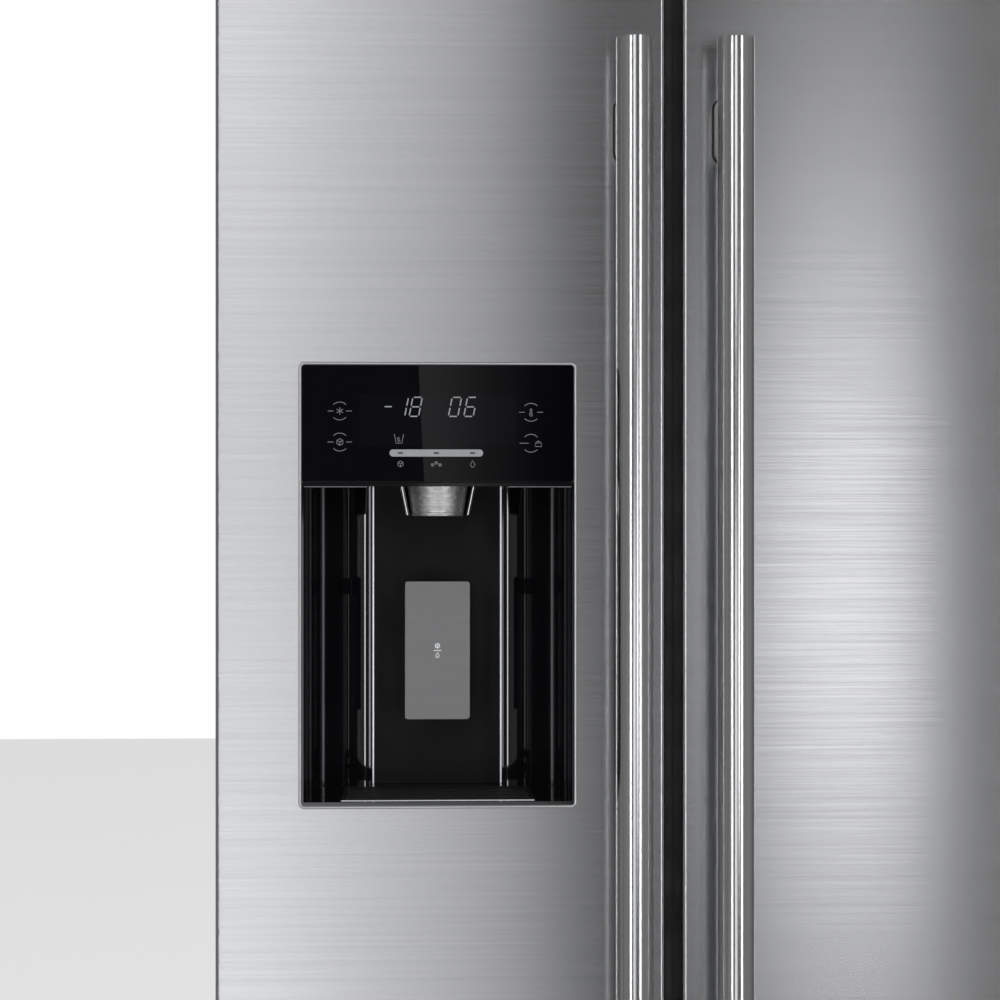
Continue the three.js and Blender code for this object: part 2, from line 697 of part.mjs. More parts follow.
/** Black niche with curved flanks, a recess for the drip grille and the ears of the paddle. */
function dispenserHousing() {
  const top = PANEL_BOTTOM - GAP;
  const outer = raised(nicheOutline(NICHE_WALL, 0), [NICHE_FLOOR - 3, top]);
  const inner = raised(nicheOutline(0, 5), [NICHE_FLOOR, top - 3]);
  const seat = box(
    around(DISPENSER_X, GRILLE_HALF + GAP),
    grow(GRILLE_Y, GAP),
    [NICHE_FLOOR - 6, NICHE_FLOOR + 1],
  );
  const tray = box(
    around(DISPENSER_X, GRILLE_HALF - 4),
    grow(GRILLE_Y, -5),
    [TRAY_BOTTOM + 3, NICHE_FLOOR - 4],
  );
  const chuteHole = rod('z', around(top, 10), [DISPENSER_X, CHUTE_Y], CHUTE_RADIUS + 1, 20);
  const earY = [PADDLE_PIVOT_Y - 5, DOOR_FRONT + NICHE_DEPTH + 1];
  const ears = [-1, 1].map((side) => box(
    sided(side, EAR).map((x) => DISPENSER_X + x),
    earY,
    around(PADDLE_PIVOT_Z, 7),
  ));
  const pivot = rod('x', around(DISPENSER_X, 30), [PADDLE_PIVOT_Y, PADDLE_PIVOT_Z], PIVOT_RADIUS + 0.6, 10);
  const hollow = cut(outer.add(trayBlock(0)), [inner, seat, tray, chuteHole]);
  return join([hollow, ...ears]).subtract(pivot);
}

/** Thin bright frame round the panel and the niche. */
function dispenserBezel() {
  const x = around(DISPENSER_X, DISPENSER_HALF - GAP);
  const z = grow(DISPENSER_Z, -GAP);
  const y = [DOOR_FRONT - BEZEL_WIDTH, DOOR_FRONT + 4];
  const inner = roundedRectangle(grow(x, -BEZEL_WIDTH), grow(z, -BEZEL_WIDTH), 0.8);
  return upright(roundedRectangle(x, z, 5), y).subtract(upright(inner, grow(y, 5)));
}

/** Glass control panel above the niche. */
function controlPanel() {
  const x = around(DISPENSER_X, NICHE_HALF + NICHE_WALL);
  const z = [PANEL_BOTTOM, DISPENSER_Z[1] - BEZEL_WIDTH - 2 * GAP];
  return upright(roundedRectangle(x, z, 3), [DOOR_FRONT - 1, DOOR_FRONT + 16]);
}

/** Ice chute: a tapered steel spout on a straight tube. */
function iceChute() {
  const top = POCKET_Z[0] + 2;
  return turned([
    [CHUTE_MOUTH_RADIUS, CHUTE_MOUTH_Z],
    [CHUTE_RADIUS, PANEL_BOTTOM],
    [CHUTE_RADIUS, top],
    [CHUTE_RADIUS - CHUTE_WALL, top],
    [CHUTE_RADIUS - CHUTE_WALL, PANEL_BOTTOM],
    [CHUTE_MOUTH_RADIUS - CHUTE_WALL, CHUTE_MOUTH_Z],
    [CHUTE_MOUTH_RADIUS, CHUTE_MOUTH_Z],
  ], 20);
}

/** Paddle: a flat plate with a web and a pivot barrel behind its upper end. */
function paddle() {
  const outline = roundedRectangle(around(DISPENSER_X, PADDLE_HALF), PADDLE_Z, 3);
  const plate = upright(outline, [PADDLE_FRONT, PADDLE_FRONT + 4]);
  const barrelX = around(DISPENSER_X, EAR[0] - GAP);
  const pivot = [PADDLE_PIVOT_Y, PADDLE_PIVOT_Z];
  const web = box(barrelX, [PADDLE_FRONT + 3, PADDLE_PIVOT_Y], around(PADDLE_PIVOT_Z, 3));
  const barrel = rod('x', barrelX, pivot, 5, 12);
  const pin = rod('x', around(DISPENSER_X, EAR[1] - 0.2), pivot, PIVOT_RADIUS, 10);
  return join([plate, web, barrel, pin]);
}

/** Drip grille with cross slots over the drip tray. */
function dripGrille() {
  const z = [GRILLE_BOTTOM, NICHE_FLOOR];
  const plate = box(around(DISPENSER_X, GRILLE_HALF), GRILLE_Y, z);
  const slots = [];
  for (let index = 0; index < 8; index += 1) {
    const y = GRILLE_Y[0] + 7 + index * 11;
    [-1, 1].forEach((side) => {
      const x = sided(side, [3, GRILLE_HALF - 6]).map((offset) => DISPENSER_X + offset);
      slots.push(box(x, [y, y + 6], grow(z, 3)));
    });
  }
  return cut(plate, slots);
}

/** Opening in the freezer door's skin and foam for the dispenser. */
function dispenserSpace(skinOnly) {
  const mouth = upright(
    roundedRectangle(around(DISPENSER_X, DISPENSER_HALF), DISPENSER_Z, 5.4),
    [DOOR_FRONT - 5, DOOR_FRONT + (skinOnly ? 10 : 17)],
  );
  if (skinOnly) {
    return mouth;
  }
  const niche = raised(nicheOutline(NICHE_WALL + GAP, 5), [NICHE_FLOOR - 3 - GAP, PANEL_BOTTOM]);
  const chute = rod('z', [PANEL_BOTTOM - 30, POCKET_Z[1]], [DISPENSER_X, CHUTE_Y], CHUTE_RADIUS + 1, 20);
  return join([mouth, niche, trayBlock(GAP), chute, icePocket(LINER + GAP)]);
}

/** Pocket in the inner door where ice enters from the bin. */
function icePocket(extra) {
  return box(
    around(DISPENSER_X, POCKET_HALF + extra),
    [POCKET_FRONT - extra, BULGE_BACK + (extra > 0 ? 0 : 5)],
    grow(POCKET_Z, extra),
  );
}

/** Bulge of the inner door round the dispenser, reduced by a wall thickness. */
function bulge(inset) {
  const x = grow([FREEZER_RIDGES[0][1], FREEZER_RIDGES[1][0]], -inset);
  const front = inset > 0 ? DOOR_BACK - LINER - 5 : DOOR_BACK - 1;
  return box(x, [front, BULGE_BACK - inset], grow(BULGE_Z, -inset));
}

/** Inner freezer door: panel, ridges, the dispenser's bulge and the ice pocket. */
function freezerDoorLiner() {
  const chute = rod('z', around(POCKET_Z[0], 10), [DISPENSER_X, CHUTE_Y], CHUTE_RADIUS + 1, 20);
  const pocketShell = icePocket(LINER);
  const body = doorLiner(FREEZER_DOOR_X, FREEZER_RIDGES).add(bulge(0)).subtract(bulge(LINER));
  return cut(body.add(pocketShell), [icePocket(0), chute]);
}

/** Foam of the freezer door, round the dispenser and into its bulge. */
function freezerDoorFoam() {
  const flat = doorFoam(FREEZER_DOOR_X, -1);
  return cut(flat.add(bulge(LINER + GAP)), [dispenserSpace(false)]);
}

// ------------------------------------------------------------------ assembly

const shelfLedges = (levels, y) => levels.map((z) => ({ y, z }));
const drawerLedges = [UPPER_DRAWER, LOWER_DRAWER].map(({ y, z }) => ({ y, z: z[0] }));

const cabinet = new THREE.Group();
piece(cabinet, 'cabinet_shell', cabinetShell(), cabinetPaint);
piece(cabinet, 'cabinet_insulation', insulation(), foamTan);
piece(cabinet, 'freezer_liner', liner(FREEZER_X, [
  ...shelfLedges([ICE_BIN.z[0], FREEZER_SHELF_LEVEL], [SHELF_FRONT, 250]), ...drawerLedges,
]), linerWhite);
piece(cabinet, 'fridge_liner', liner(FRIDGE_X, [
  ...shelfLedges(FRIDGE_SHELF_LEVELS, [SHELF_FRONT, 290]), ...drawerLedges,
]), linerWhite);
const backPanel = box(INSIDE_X, BACK_SHEET_Y, [MACHINE_TOP, CABINET_Z[1] - SHEET - GAP]);
piece(cabinet, 'back_panel', backPanel, galvanised);
piece(cabinet, 'base_pan', basePan(), galvanised);
piece(cabinet, 'kick_grille', kickGrille(), darkPlastic);
piece(cabinet, 'machine_cover', machineCover(), galvanised);
piece(cabinet, 'cord_inlet', cordInlet(), darkPlastic);
piece(cabinet, 'compressor', compressor(), compressorBlack, COMPRESSOR_PLACE);
piece(cabinet, 'condenser', condenser(), galvanised);
piece(cabinet, 'condenser_fan', fan(60, 14, 5), darkPlastic, [CONDENSER_FAN_X, ...CONDENSER_FAN_CENTRE]);
piece(cabinet, 'evaporator', finBlock({ ...EVAPORATOR, fins: 7, tubes: EVAPORATOR_TUBES }), aluminium);
piece(cabinet, 'evaporator_cover', evaporatorCover(), linerWhite);
piece(cabinet, 'ice_maker', iceMaker(), greyPlastic);
piece(cabinet, 'ice_bin', iceBin(), clearPlastic);
piece(cabinet, 'ice_auger', iceAuger(), galvanised, AUGER_PLACE);

const evaporatorFan = new THREE.Group();
evaporatorFan.position.set((FREEZER_X[0] + FREEZER_X[1]) / 2, FAN_Y, FAN_Z);
evaporatorFan.rotation.z = Math.PI / 2;
piece(evaporatorFan, 'evaporator_fan', fan(44, 12, 5), darkPlastic);
cabinet.add(evaporatorFan);

piece(cabinet, 'freezer_shelf', shelf(FREEZER_X, [SHELF_FRONT, 255], FREEZER_SHELF_LEVEL), shelfGlass);
FRIDGE_SHELF_LEVELS.forEach((z, index) => {
  const name = `fridge_shelf_${index + 1}`;
  piece(cabinet, name, shelf(FRIDGE_X, [SHELF_FRONT, 295], z), shelfGlass);
});
piece(cabinet, 'freezer_drawer_upper', drawer(FREEZER_X, UPPER_DRAWER), clearPlastic);
piece(cabinet, 'freezer_drawer_lower', drawer(FREEZER_X, LOWER_DRAWER), clearPlastic);
piece(cabinet, 'crisper_upper', drawer(FRIDGE_X, UPPER_DRAWER), clearPlastic);
piece(cabinet, 'crisper_lower', drawer(FRIDGE_X, LOWER_DRAWER), clearPlastic);

[['freezer', 'left', -1], ['fridge', 'right', 1]].forEach(([compartmentName, hand, side]) => {
  piece(cabinet, `${compartmentName}_top_hinge`, topHinge(side), galvanised);
  piece(cabinet, `${compartmentName}_bottom_hinge`, bottomHinge(side), galvanised);
  piece(cabinet, `${compartmentName}_hinge_cover`, hingeCover(side), greyPlastic);
  piece(cabinet, `${hand}_foot`, foot(), darkPlastic, [side * FOOT_X, FOOT_Y, 0]);
  piece(cabinet, `${hand}_roller`, roller(), tyreRubber, [side * ROLLER_X, ROLLER_Y, ROLLER_RADIUS]);
});

const freezerDoor = new THREE.Group();
const freezerSkin = doorSkin(FREEZER_DOOR_X, -1).subtract(dispenserSpace(true));
piece(freezerDoor, 'freezer_door_skin', freezerSkin, stainless);
piece(freezerDoor, 'freezer_door_foam', freezerDoorFoam(), foamTan);
piece(freezerDoor, 'freezer_door_liner', freezerDoorLiner(), linerWhite);
piece(freezerDoor, 'freezer_gasket', gasket(FREEZER_X), gasketGrey);
FREEZER_BIN_LEVELS.forEach((z, index) => {
  const name = `freezer_door_bin_${index + 1}`;
  piece(freezerDoor, name, doorBin(FREEZER_RIDGES, FREEZER_BIN_BACK, z), clearPlastic);
});
piece(freezerDoor, 'dispenser_housing', dispenserHousing(), glossBlack);
piece(freezerDoor, 'dispenser_bezel', dispenserBezel(), bezelChrome);
piece(freezerDoor, 'control_panel', controlPanel(), glossBlack);
piece(freezerDoor, 'ice_chute', iceChute(), chuteSteel, [DISPENSER_X, CHUTE_Y, 0]);
piece(freezerDoor, 'dispenser_paddle', paddle(), paddleGrey);
piece(freezerDoor, 'drip_grille', dripGrille(), darkPlastic);

const fridgeDoor = new THREE.Group();
piece(fridgeDoor, 'fridge_door_skin', doorSkin(FRIDGE_DOOR_X, 1), stainless);
piece(fridgeDoor, 'fridge_door_foam', doorFoam(FRIDGE_DOOR_X, 1), foamTan);
piece(fridgeDoor, 'fridge_door_liner', doorLiner(FRIDGE_DOOR_X, FRIDGE_RIDGES), linerWhite);
piece(fridgeDoor, 'fridge_gasket', gasket(FRIDGE_X), gasketGrey);
FRIDGE_BIN_LEVELS.forEach((z, index) => {
  const name = `fridge_door_bin_${index + 1}`;
  piece(fridgeDoor, name, doorBin(FRIDGE_RIDGES, FRIDGE_BIN_BACK, z), clearPlastic);
});

[[freezerDoor, 'freezer', BAR_X[0]], [fridgeDoor, 'fridge', BAR_X[1]]].forEach(([door, name, x]) => {
  piece(door, `${name}_handle_bar`, handleBar(), handleSteel, [x, BAR_Y, 0]);
  piece(door, `${name}_handle_post_upper`, handlePost(x, BAR_Z[1] - POST_INSET), postGrey);
  piece(door, `${name}_handle_post_lower`, handlePost(x, BAR_Z[0] + POST_INSET), postGrey);
});

const refrigerator = new THREE.Group();
refrigerator.name = 'side_by_side_refrigerator';
refrigerator.add(cabinet, freezerDoor, fridgeDoor);

export default refrigerator;
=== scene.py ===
"""Side by side refrigerator: detailed visible pieces, materials, light and camera round the CAD frame."""
import json
import math

import bmesh
import bpy
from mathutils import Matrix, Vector


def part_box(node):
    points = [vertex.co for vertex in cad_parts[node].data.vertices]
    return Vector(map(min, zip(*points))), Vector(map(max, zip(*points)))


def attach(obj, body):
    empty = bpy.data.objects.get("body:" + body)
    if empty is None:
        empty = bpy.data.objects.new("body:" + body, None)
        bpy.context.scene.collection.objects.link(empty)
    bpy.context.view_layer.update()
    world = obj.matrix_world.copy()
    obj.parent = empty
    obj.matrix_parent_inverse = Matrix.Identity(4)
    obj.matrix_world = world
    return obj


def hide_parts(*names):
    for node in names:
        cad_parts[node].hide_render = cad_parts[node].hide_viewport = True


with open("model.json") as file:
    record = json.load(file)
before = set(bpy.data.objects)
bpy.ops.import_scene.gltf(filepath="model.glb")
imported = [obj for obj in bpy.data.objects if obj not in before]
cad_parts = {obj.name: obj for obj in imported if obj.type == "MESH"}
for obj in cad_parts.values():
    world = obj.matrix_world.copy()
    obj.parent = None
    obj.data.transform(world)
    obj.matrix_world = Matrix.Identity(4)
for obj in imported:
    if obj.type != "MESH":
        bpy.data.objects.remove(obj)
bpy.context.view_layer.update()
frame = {"nodes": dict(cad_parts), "record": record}

MM = 0.001
GAP = 0.4 * MM


# ------------------------------------------------------------------ camera

DOOR_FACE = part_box("freezer_door_skin")[0].y
BEZEL_LOW, BEZEL_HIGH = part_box("dispenser_bezel")
CENTRE_X = (BEZEL_LOW.x + BEZEL_HIGH.x) / 2


def make_camera():
    """Stands 1.9 m in front of the dispenser at its height and looks slightly to the right."""
    data = bpy.data.cameras.new("camera")
    data.sensor_width = 36
    data.lens = 78.5
    camera = bpy.data.objects.new("camera", data)
    bpy.context.scene.collection.objects.link(camera)
    eye = Vector((CENTRE_X - 0.0134, DOOR_FACE - 1.9, 1.22))
    aim = Vector((CENTRE_X + 0.054, DOOR_FACE, 1.22))
    camera.location = eye
    camera.rotation_euler = (aim - eye).to_track_quat("-Z", "Y").to_euler()
    bpy.context.scene.camera = camera


# ------------------------------------------------------------------ meshes

def mesh_object(name, points, faces):
    """Object from points and faces, with doubles merged and normals facing out."""
    mesh = bpy.data.meshes.new(name)
    mesh.from_pydata([Vector(point) for point in points], [], faces)
    build = bmesh.new()
    build.from_mesh(mesh)
    bmesh.ops.remove_doubles(build, verts=build.verts, dist=1e-6)
    bmesh.ops.recalc_face_normals(build, faces=build.faces)
    build.to_mesh(mesh)
    build.free()
    obj = bpy.data.objects.new(name, mesh)
    bpy.context.scene.collection.objects.link(obj)
    return obj


def at(axis, u, v, w):
    """Point with u and v across an axis, in x, y, z order, and w along it."""
    return {"x": (w, u, v), "y": (u, w, v), "z": (u, v, w)}[axis]


def lofted(name, loops, ring=False):
    """Skin through loops of equal length; the ends are capped unless the loops close on themselves."""
    count = len(loops[0])
    points = [point for loop in loops for point in loop]
    faces = []
    for row in range(len(loops) - (0 if ring else 1)):
        a = row * count
        b = (row + 1) % len(loops) * count
        for i in range(count):
            j = (i + 1) % count
            faces.append((a + i, a + j, b + j, b + i))
    if not ring:
        faces.append(tuple(range(count)))
        faces.append(tuple(range(len(points) - count, len(points))))
    return mesh_object(name, points, faces)


def rounded_loop(u, v, radius, steps=6):
    """Corner points of a rounded rectangle from u[0] to u[1] and v[0] to v[1]."""
    radius = max(radius, 1e-5)
    corners = [(u[1] - radius, v[0] + radius), (u[1] - radius, v[1] - radius),
               (u[0] + radius, v[1] - radius), (u[0] + radius, v[0] + radius)]
    points = []
    for quarter, (cu, cv) in enumerate(corners):
        for step in range(steps + 1):
            angle = (quarter - 1 + step / steps) * math.pi / 2
            points.append((cu + radius * math.cos(angle), cv + radius * math.sin(angle)))
    return points


def grown(limits, amount):
    """Limits moved outwards at both ends."""
    return limits[0] - amount, limits[1] + amount


def stacked(name, axis, u, v, radius, profile, ring=False, steps=6):
    """Rounded rectangle carried through a profile of (inset, place along the axis)."""
    loops = []
    for inset, w in profile:
        outline = rounded_loop(grown(u, -inset), grown(v, -inset), radius - inset, steps)
        loops.append([at(axis, a, b, w) for a, b in outline])
    return lofted(name, loops, ring)


def slab(name, axis, u, v, w, radius, edge, steps=6):
    """Plate with rounded corners and softened rims, w[0] to w[1] thick."""
    turns = (0, math.pi / 6, math.pi / 3, math.pi / 2)
    soft = [(edge * (1 - math.sin(t)), edge * (1 - math.cos(t))) for t in turns]
    profile = [(inset, w[0] + rise) for inset, rise in soft]
    profile += [(inset, w[1] - rise) for inset, rise in reversed(soft)]
    return stacked(name, axis, u, v, radius, profile, steps=steps)


def turned(name, axis, centre, profile, steps=64, ring=False):
    """Body of revolution through (radius, place along the axis)."""
    loops = []
    for radius, w in profile:
        angles = [step * 2 * math.pi / steps for step in range(steps)]
        loops.append([
            at(axis, centre[0] + radius * math.cos(angle), centre[1] + radius * math.sin(angle), w)
            for angle in angles
        ])
    return lofted(name, loops, ring)


def block(name, low, high, radius=0.5 * MM, steps=2):
    """Box with rounded edges."""
    build = bmesh.new()
    bmesh.ops.create_cube(build, size=1)
    low, high = Vector(low), Vector(high)
    for vert in build.verts:
        for i in range(3):
            vert.co[i] = low[i] if vert.co[i] < 0 else high[i]
    if radius:
        bmesh.ops.bevel(
            build, geom=build.edges[:], offset=radius, segments=steps, profile=0.5, affect="EDGES")
    mesh = bpy.data.meshes.new(name)
    build.to_mesh(mesh)
    build.free()
    obj = bpy.data.objects.new(name, mesh)
    bpy.context.scene.collection.objects.link(obj)
    return obj


def applied(obj):
    """Turns an object's modifiers into its mesh."""
    graph = bpy.context.evaluated_depsgraph_get()
    mesh = bpy.data.meshes.new_from_object(obj.evaluated_get(graph))
    obj.modifiers.clear()
    obj.data = mesh
    return obj


def boolean(obj, operation, tools):
    """Joins the tools to an object or cuts them out of it."""
    for tool in tools:
        step = obj.modifiers.new(operation.lower(), "BOOLEAN")
        step.operation = operation
        step.solver = "EXACT"
        step.object = tool
    applied(obj)
    for tool in tools:
        bpy.data.objects.remove(tool)
    return obj


def merged(name, parts):
    """One object out of separate closed bodies."""
    build = bmesh.new()
    for part in parts:
        build.from_mesh(part.data)
        bpy.data.objects.remove(part)
    mesh = bpy.data.meshes.new(name)
    build.to_mesh(mesh)
    build.free()
    obj = bpy.data.objects.new(name, mesh)
    bpy.context.scene.collection.objects.link(obj)
    return obj


def smooth(obj, angle=35, even=True):
    """Smooth shading with sharp edges over an angle."""
    obj.data.shade_smooth()
    obj.data.set_sharp_from_angle(angle=math.radians(angle))
    if even:
        normals = obj.modifiers.new("even_normals", "WEIGHTED_NORMAL")
        normals.keep_sharp = True
    return obj


def softened(obj, width, steps=2):
    """Rounds the sharp edges of an object."""
    edge = obj.modifiers.new("softened", "BEVEL")
    edge.width = width
    edge.segments = steps
    edge.limit_method = "ANGLE"
    edge.angle_limit = math.radians(40)
    return obj


def grain_direction(obj, along, across):
    """Surface map in metres whose first direction is the one that highlights spread in."""
    layer = obj.data.uv_layers.new(name="grain")
    for loop in obj.data.loops:
        point = obj.data.vertices[loop.vertex_index].co
        layer.data[loop.index].uv = (point[along], point[across])
    return obj


def fit(obj, body, slot, replaces=()):
    """Gives a piece its finish and its body, and hides the CAD nodes it stands for."""
    obj.data.materials.clear()
    obj.data.materials.append(FINISHES[slot])
    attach(obj, body)
    if replaces:
        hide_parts(*replaces)
    return obj


# --------------------------------------------------------------- materials

class Finish:
    """Principled material that gains its detail step by step."""

    def __init__(self, name, colour, roughness, metallic=0.0, **sockets):
        self.material = bpy.data.materials.new(name)
        self.material.use_nodes = True
        self.nodes = self.material.node_tree.nodes
        self.links = self.material.node_tree.links
        self.shader = self.nodes["Principled BSDF"]
        self.shader.inputs["Base Color"].default_value = (*colour, 1)
        self.shader.inputs["Roughness"].default_value = roughness
        self.shader.inputs["Metallic"].default_value = metallic
        for socket, value in sockets.items():
            self.shader.inputs[socket.replace("_", " ")].default_value = value
        self.place = self.nodes.new("ShaderNodeTexCoord").outputs["Object"]

    def texture(self, kind, scale, stretch):
        """Texture node on object coordinates; scale is in features per metre."""
        mapping = self.nodes.new("ShaderNodeMapping")
        mapping.inputs["Scale"].default_value = stretch
        self.links.new(self.place, mapping.inputs["Vector"])
        texture = self.nodes.new(kind)
        texture.inputs["Scale"].default_value = scale
        self.links.new(mapping.outputs["Vector"], texture.inputs["Vector"])
        return texture

    def noise(self, scale, stretch=(1, 1, 1), detail=3.0):
        """Noise height between 0 and 1."""
        texture = self.texture("ShaderNodeTexNoise", scale, stretch)
        texture.inputs["Detail"].default_value = detail
        return texture.outputs["Fac"]

    def cells(self, scale, stretch=(1, 1, 1)):
        """One random shade for each cell."""
        texture = self.texture("ShaderNodeTexVoronoi", scale, stretch)
        return texture.outputs["Color"]

    def shades(self, fac, dark, light, low=0.35, high=0.65):
        """Base colour that runs from dark to light with a height."""
        ramp = self.nodes.new("ShaderNodeValToRGB")
        ramp.color_ramp.elements[0].position = low
        ramp.color_ramp.elements[0].color = (*dark, 1)
        ramp.color_ramp.elements[1].position = high
        ramp.color_ramp.elements[1].color = (*light, 1)
        self.links.new(fac, ramp.inputs["Fac"])
        self.links.new(ramp.outputs["Color"], self.shader.inputs["Base Color"])
        return self

    def rough(self, fac, low, high):
        """Roughness that runs from low to high with a height."""
        span = self.nodes.new("ShaderNodeMapRange")
        span.inputs["From Min"].default_value = 0.3
        span.inputs["From Max"].default_value = 0.7
        span.inputs["To Min"].default_value = low
        span.inputs["To Max"].default_value = high
        self.links.new(fac, span.inputs["Value"])
        self.links.new(span.outputs["Result"], self.shader.inputs["Roughness"])
        return self

    def bump(self, fac, height):
        """Relief of a height in metres, added to the relief already there."""
        bump = self.nodes.new("ShaderNodeBump")
        bump.inputs["Distance"].default_value = height
        normal = self.shader.inputs["Normal"]
        if normal.links:
            self.links.new(normal.links[0].from_socket, bump.inputs["Normal"])
        self.links.new(fac, bump.inputs["Height"])
        self.links.new(bump.outputs["Normal"], normal)
        return self

    def brushed_along_map(self):
        """Spreads highlights along the first direction of the grain map."""
        tangent = self.nodes.new("ShaderNodeTangent")
        tangent.direction_type = "UV_MAP"
        tangent.uv_map = "grain"
        self.links.new(tangent.outputs["Tangent"], self.shader.inputs["Tangent"])
        return self


def tint(colour, factor):
    """Colour made darker or lighter."""
    return tuple(min(1.0, channel * factor) for channel in colour)


def brushed(name, colour, roughness, grain, anisotropy=0.0, depth=0.0006 * MM, contrast=0.03):
    """Brushed metal; grain is small along the brush lines and large across them."""
    steel = Finish(name, colour, roughness, 1.0, Anisotropic=anisotropy)
    fine = steel.noise(1.0, tuple(1800 * g for g in grain), 2.0)
    broad = steel.noise(1.0, tuple(420 * g for g in grain), 4.0)
    steel.shades(broad, tint(colour, 1 - contrast), tint(colour, 1 + contrast))
    steel.rough(fine, roughness * 0.9, roughness * 1.1)
    steel.bump(fine, depth)
    return steel


def moulded(name, colour, roughness, relief=0.02 * MM, scale=900, **sockets):
    """Moulded plastic with a fine even texture and faint unevenness of colour."""
    plastic = Finish(name, colour, roughness, **sockets)
    grain = plastic.noise(scale, detail=2.0)
    cloud = plastic.noise(12, detail=4.0)
    plastic.shades(cloud, tint(colour, 0.975), tint(colour, 1.02))
    plastic.rough(plastic.noise(35, detail=4.0), roughness * 0.85, roughness * 1.2)
    plastic.bump(grain, relief)
    return plastic


def make_finishes():
    """Every material of the object, by the name that fit() uses."""
    along_x = (0.004, 1, 1)
    along_z = (1, 1, 0.004)
    door_steel = brushed("door_steel", (0.60, 0.605, 0.615), 0.24, along_x, 0.95, 0.0004 * MM, 0.02)
    made = {
        "stainless": door_steel.brushed_along_map(),
        "handle_steel": brushed("bar_steel", (0.66, 0.665, 0.67), 0.17, along_z, 0.0, 0.00008 * MM, 0.14),
        "post_grey": moulded("post_metal", (0.30, 0.305, 0.31), 0.42, 0.01 * MM, Metallic=0.35),
        "chute_steel": brushed("chute_metal", (0.80, 0.80, 0.805), 0.5, along_x, 0.0, 0.006 * MM, 0.2),
        # The bezel, panel lip and bright edge finishes glow a little: a painted highlight on thin metal
        # edges.
        "bezel_chrome": painted_highlight_edge("bezel_metal", (0.62, 0.63, 0.64), 0.34, 0.16),
        "lip_edge": painted_highlight_edge("lip_metal", (0.22, 0.225, 0.23), 0.38, 0.03),
        "bright_edge": painted_highlight_edge("edge_metal", (0.80, 0.81, 0.82), 0.38, 0.32),
        # Near-black cabinet paint: partly the cabinet's own colour, partly painted shade that darkens the gap
        # between the doors.
        "cabinet_paint": moulded("cabinet_paint", (0.052, 0.054, 0.058), 0.42, 0.05 * MM, 700),
        "liner_white": moulded("liner_plastic", (0.80, 0.815, 0.83), 0.28, 0.012 * MM, 500),
        "foam": moulded("foam", (0.72, 0.63, 0.36), 0.9, 0.4 * MM, 260),
        "gasket": moulded("gasket_rubber", (0.022, 0.023, 0.025), 0.6, 0.03 * MM, 800),
        "black_gloss": moulded(
            "niche_plastic", (0.003, 0.003, 0.004), 0.05, 0.0012 * MM, 120, Specular_IOR_Level=1.0),
        "black_satin": moulded(
            "strip_plastic", (0.0034, 0.0038, 0.0048), 0.5, 0.01 * MM, 1500, Specular_IOR_Level=0.2),
        "grille_black": moulded("grille_plastic", (0.006, 0.006, 0.007), 0.3, 0.01 * MM, 900),
        "panel_glass": moulded("panel_glass", (0.0012, 0.0012, 0.0018), 0.006, 0.00005 * MM, 60),
        "display": moulded("display_window", (0.0020, 0.0022, 0.003), 0.008, 0.00005 * MM, 60),
        "paddle_grey": brushed("paddle_plate", (0.255, 0.257, 0.26), 0.4, along_x, 0.0, 0.0003 * MM, 0.02),
        "dark_plastic": moulded("dark_plastic", (0.022, 0.023, 0.025), 0.45, 0.03 * MM),
        "grey_plastic": moulded("grey_plastic", (0.20, 0.205, 0.21), 0.45, 0.03 * MM),
        "galvanised": galvanised(),
        "aluminium": brushed("fin_metal", (0.70, 0.71, 0.72), 0.35, (1, 1, 0.02)),
        "compressor_black": moulded("compressor_paint", (0.010, 0.010, 0.012), 0.22, 0.08 * MM, 320),
        "tyre_rubber": moulded("roller_rubber", (0.02, 0.02, 0.021), 0.7, 0.05 * MM, 600),
        "clear_plastic": clear("clear_plastic", (0.975, 0.985, 0.99), 0.05),
        "shelf_glass": clear("shelf_glass", (0.90, 0.965, 0.95), 0.02),
        # The mark finishes glow: painted light that brightens the printed marks.
        "mark": mark_with_painted_glow("panel_marks", (0.15, 0.155, 0.16), 0.11),
        "mark_pale": mark_with_painted_glow("paddle_print", (0.75, 0.76, 0.77), 0.2),
        "mark_dim": mark_with_painted_glow("button_marks", (0.12, 0.125, 0.13), 0.075),
    }
    return {name: finish.material for name, finish in made.items()}


def galvanised():
    """Zinc coated sheet with its crystal spangle."""
    zinc = Finish("zinc_sheet", (0.55, 0.57, 0.58), 0.45, 0.4)
    spangle = zinc.cells(90)
    zinc.shades(spangle, (0.48, 0.50, 0.51), (0.60, 0.62, 0.63), 0.1, 0.9)
    zinc.rough(zinc.noise(60), 0.35, 0.55)
    return zinc.bump(zinc.noise(300), 0.01 * MM)


def clear(name, colour, roughness):
    """Clear glass or plastic with faint ripples and fingermarks."""
    glass = Finish(name, colour, roughness, Transmission_Weight=1.0, IOR=1.46)
    glass.rough(glass.noise(20, detail=5.0), roughness, roughness + 0.08)
    return glass.bump(glass.noise(15), 0.05 * MM)


def painted_highlight_edge(name, colour, roughness, glow):
    """Polished thin edge with an emission glow that paints a faint bluish highlight on it."""
    edge = Finish(name, colour, roughness, 1.0, Emission_Strength=glow)
    edge.shader.inputs["Emission Color"].default_value = (0.92, 0.95, 1.0, 1)
    edge.rough(edge.noise(40), roughness * 0.9, roughness * 1.1)
    return edge.shades(edge.noise(300), tint(colour, 0.97), tint(colour, 1.03))


def mark_with_painted_glow(name, colour, strength):
    """Printed mark with an emission glow on top of its colour; the glow is painted light."""
    mark = Finish(name, colour, 0.5, Emission_Strength=strength)
    mark.shader.inputs["Emission Color"].default_value = (0.86, 0.90, 0.95, 1)
    return mark.shades(mark.noise(500), tint(colour, 0.9), tint(colour, 1.05))


FINISHES = make_finishes()


# ------------------------------------------------------------------- doors

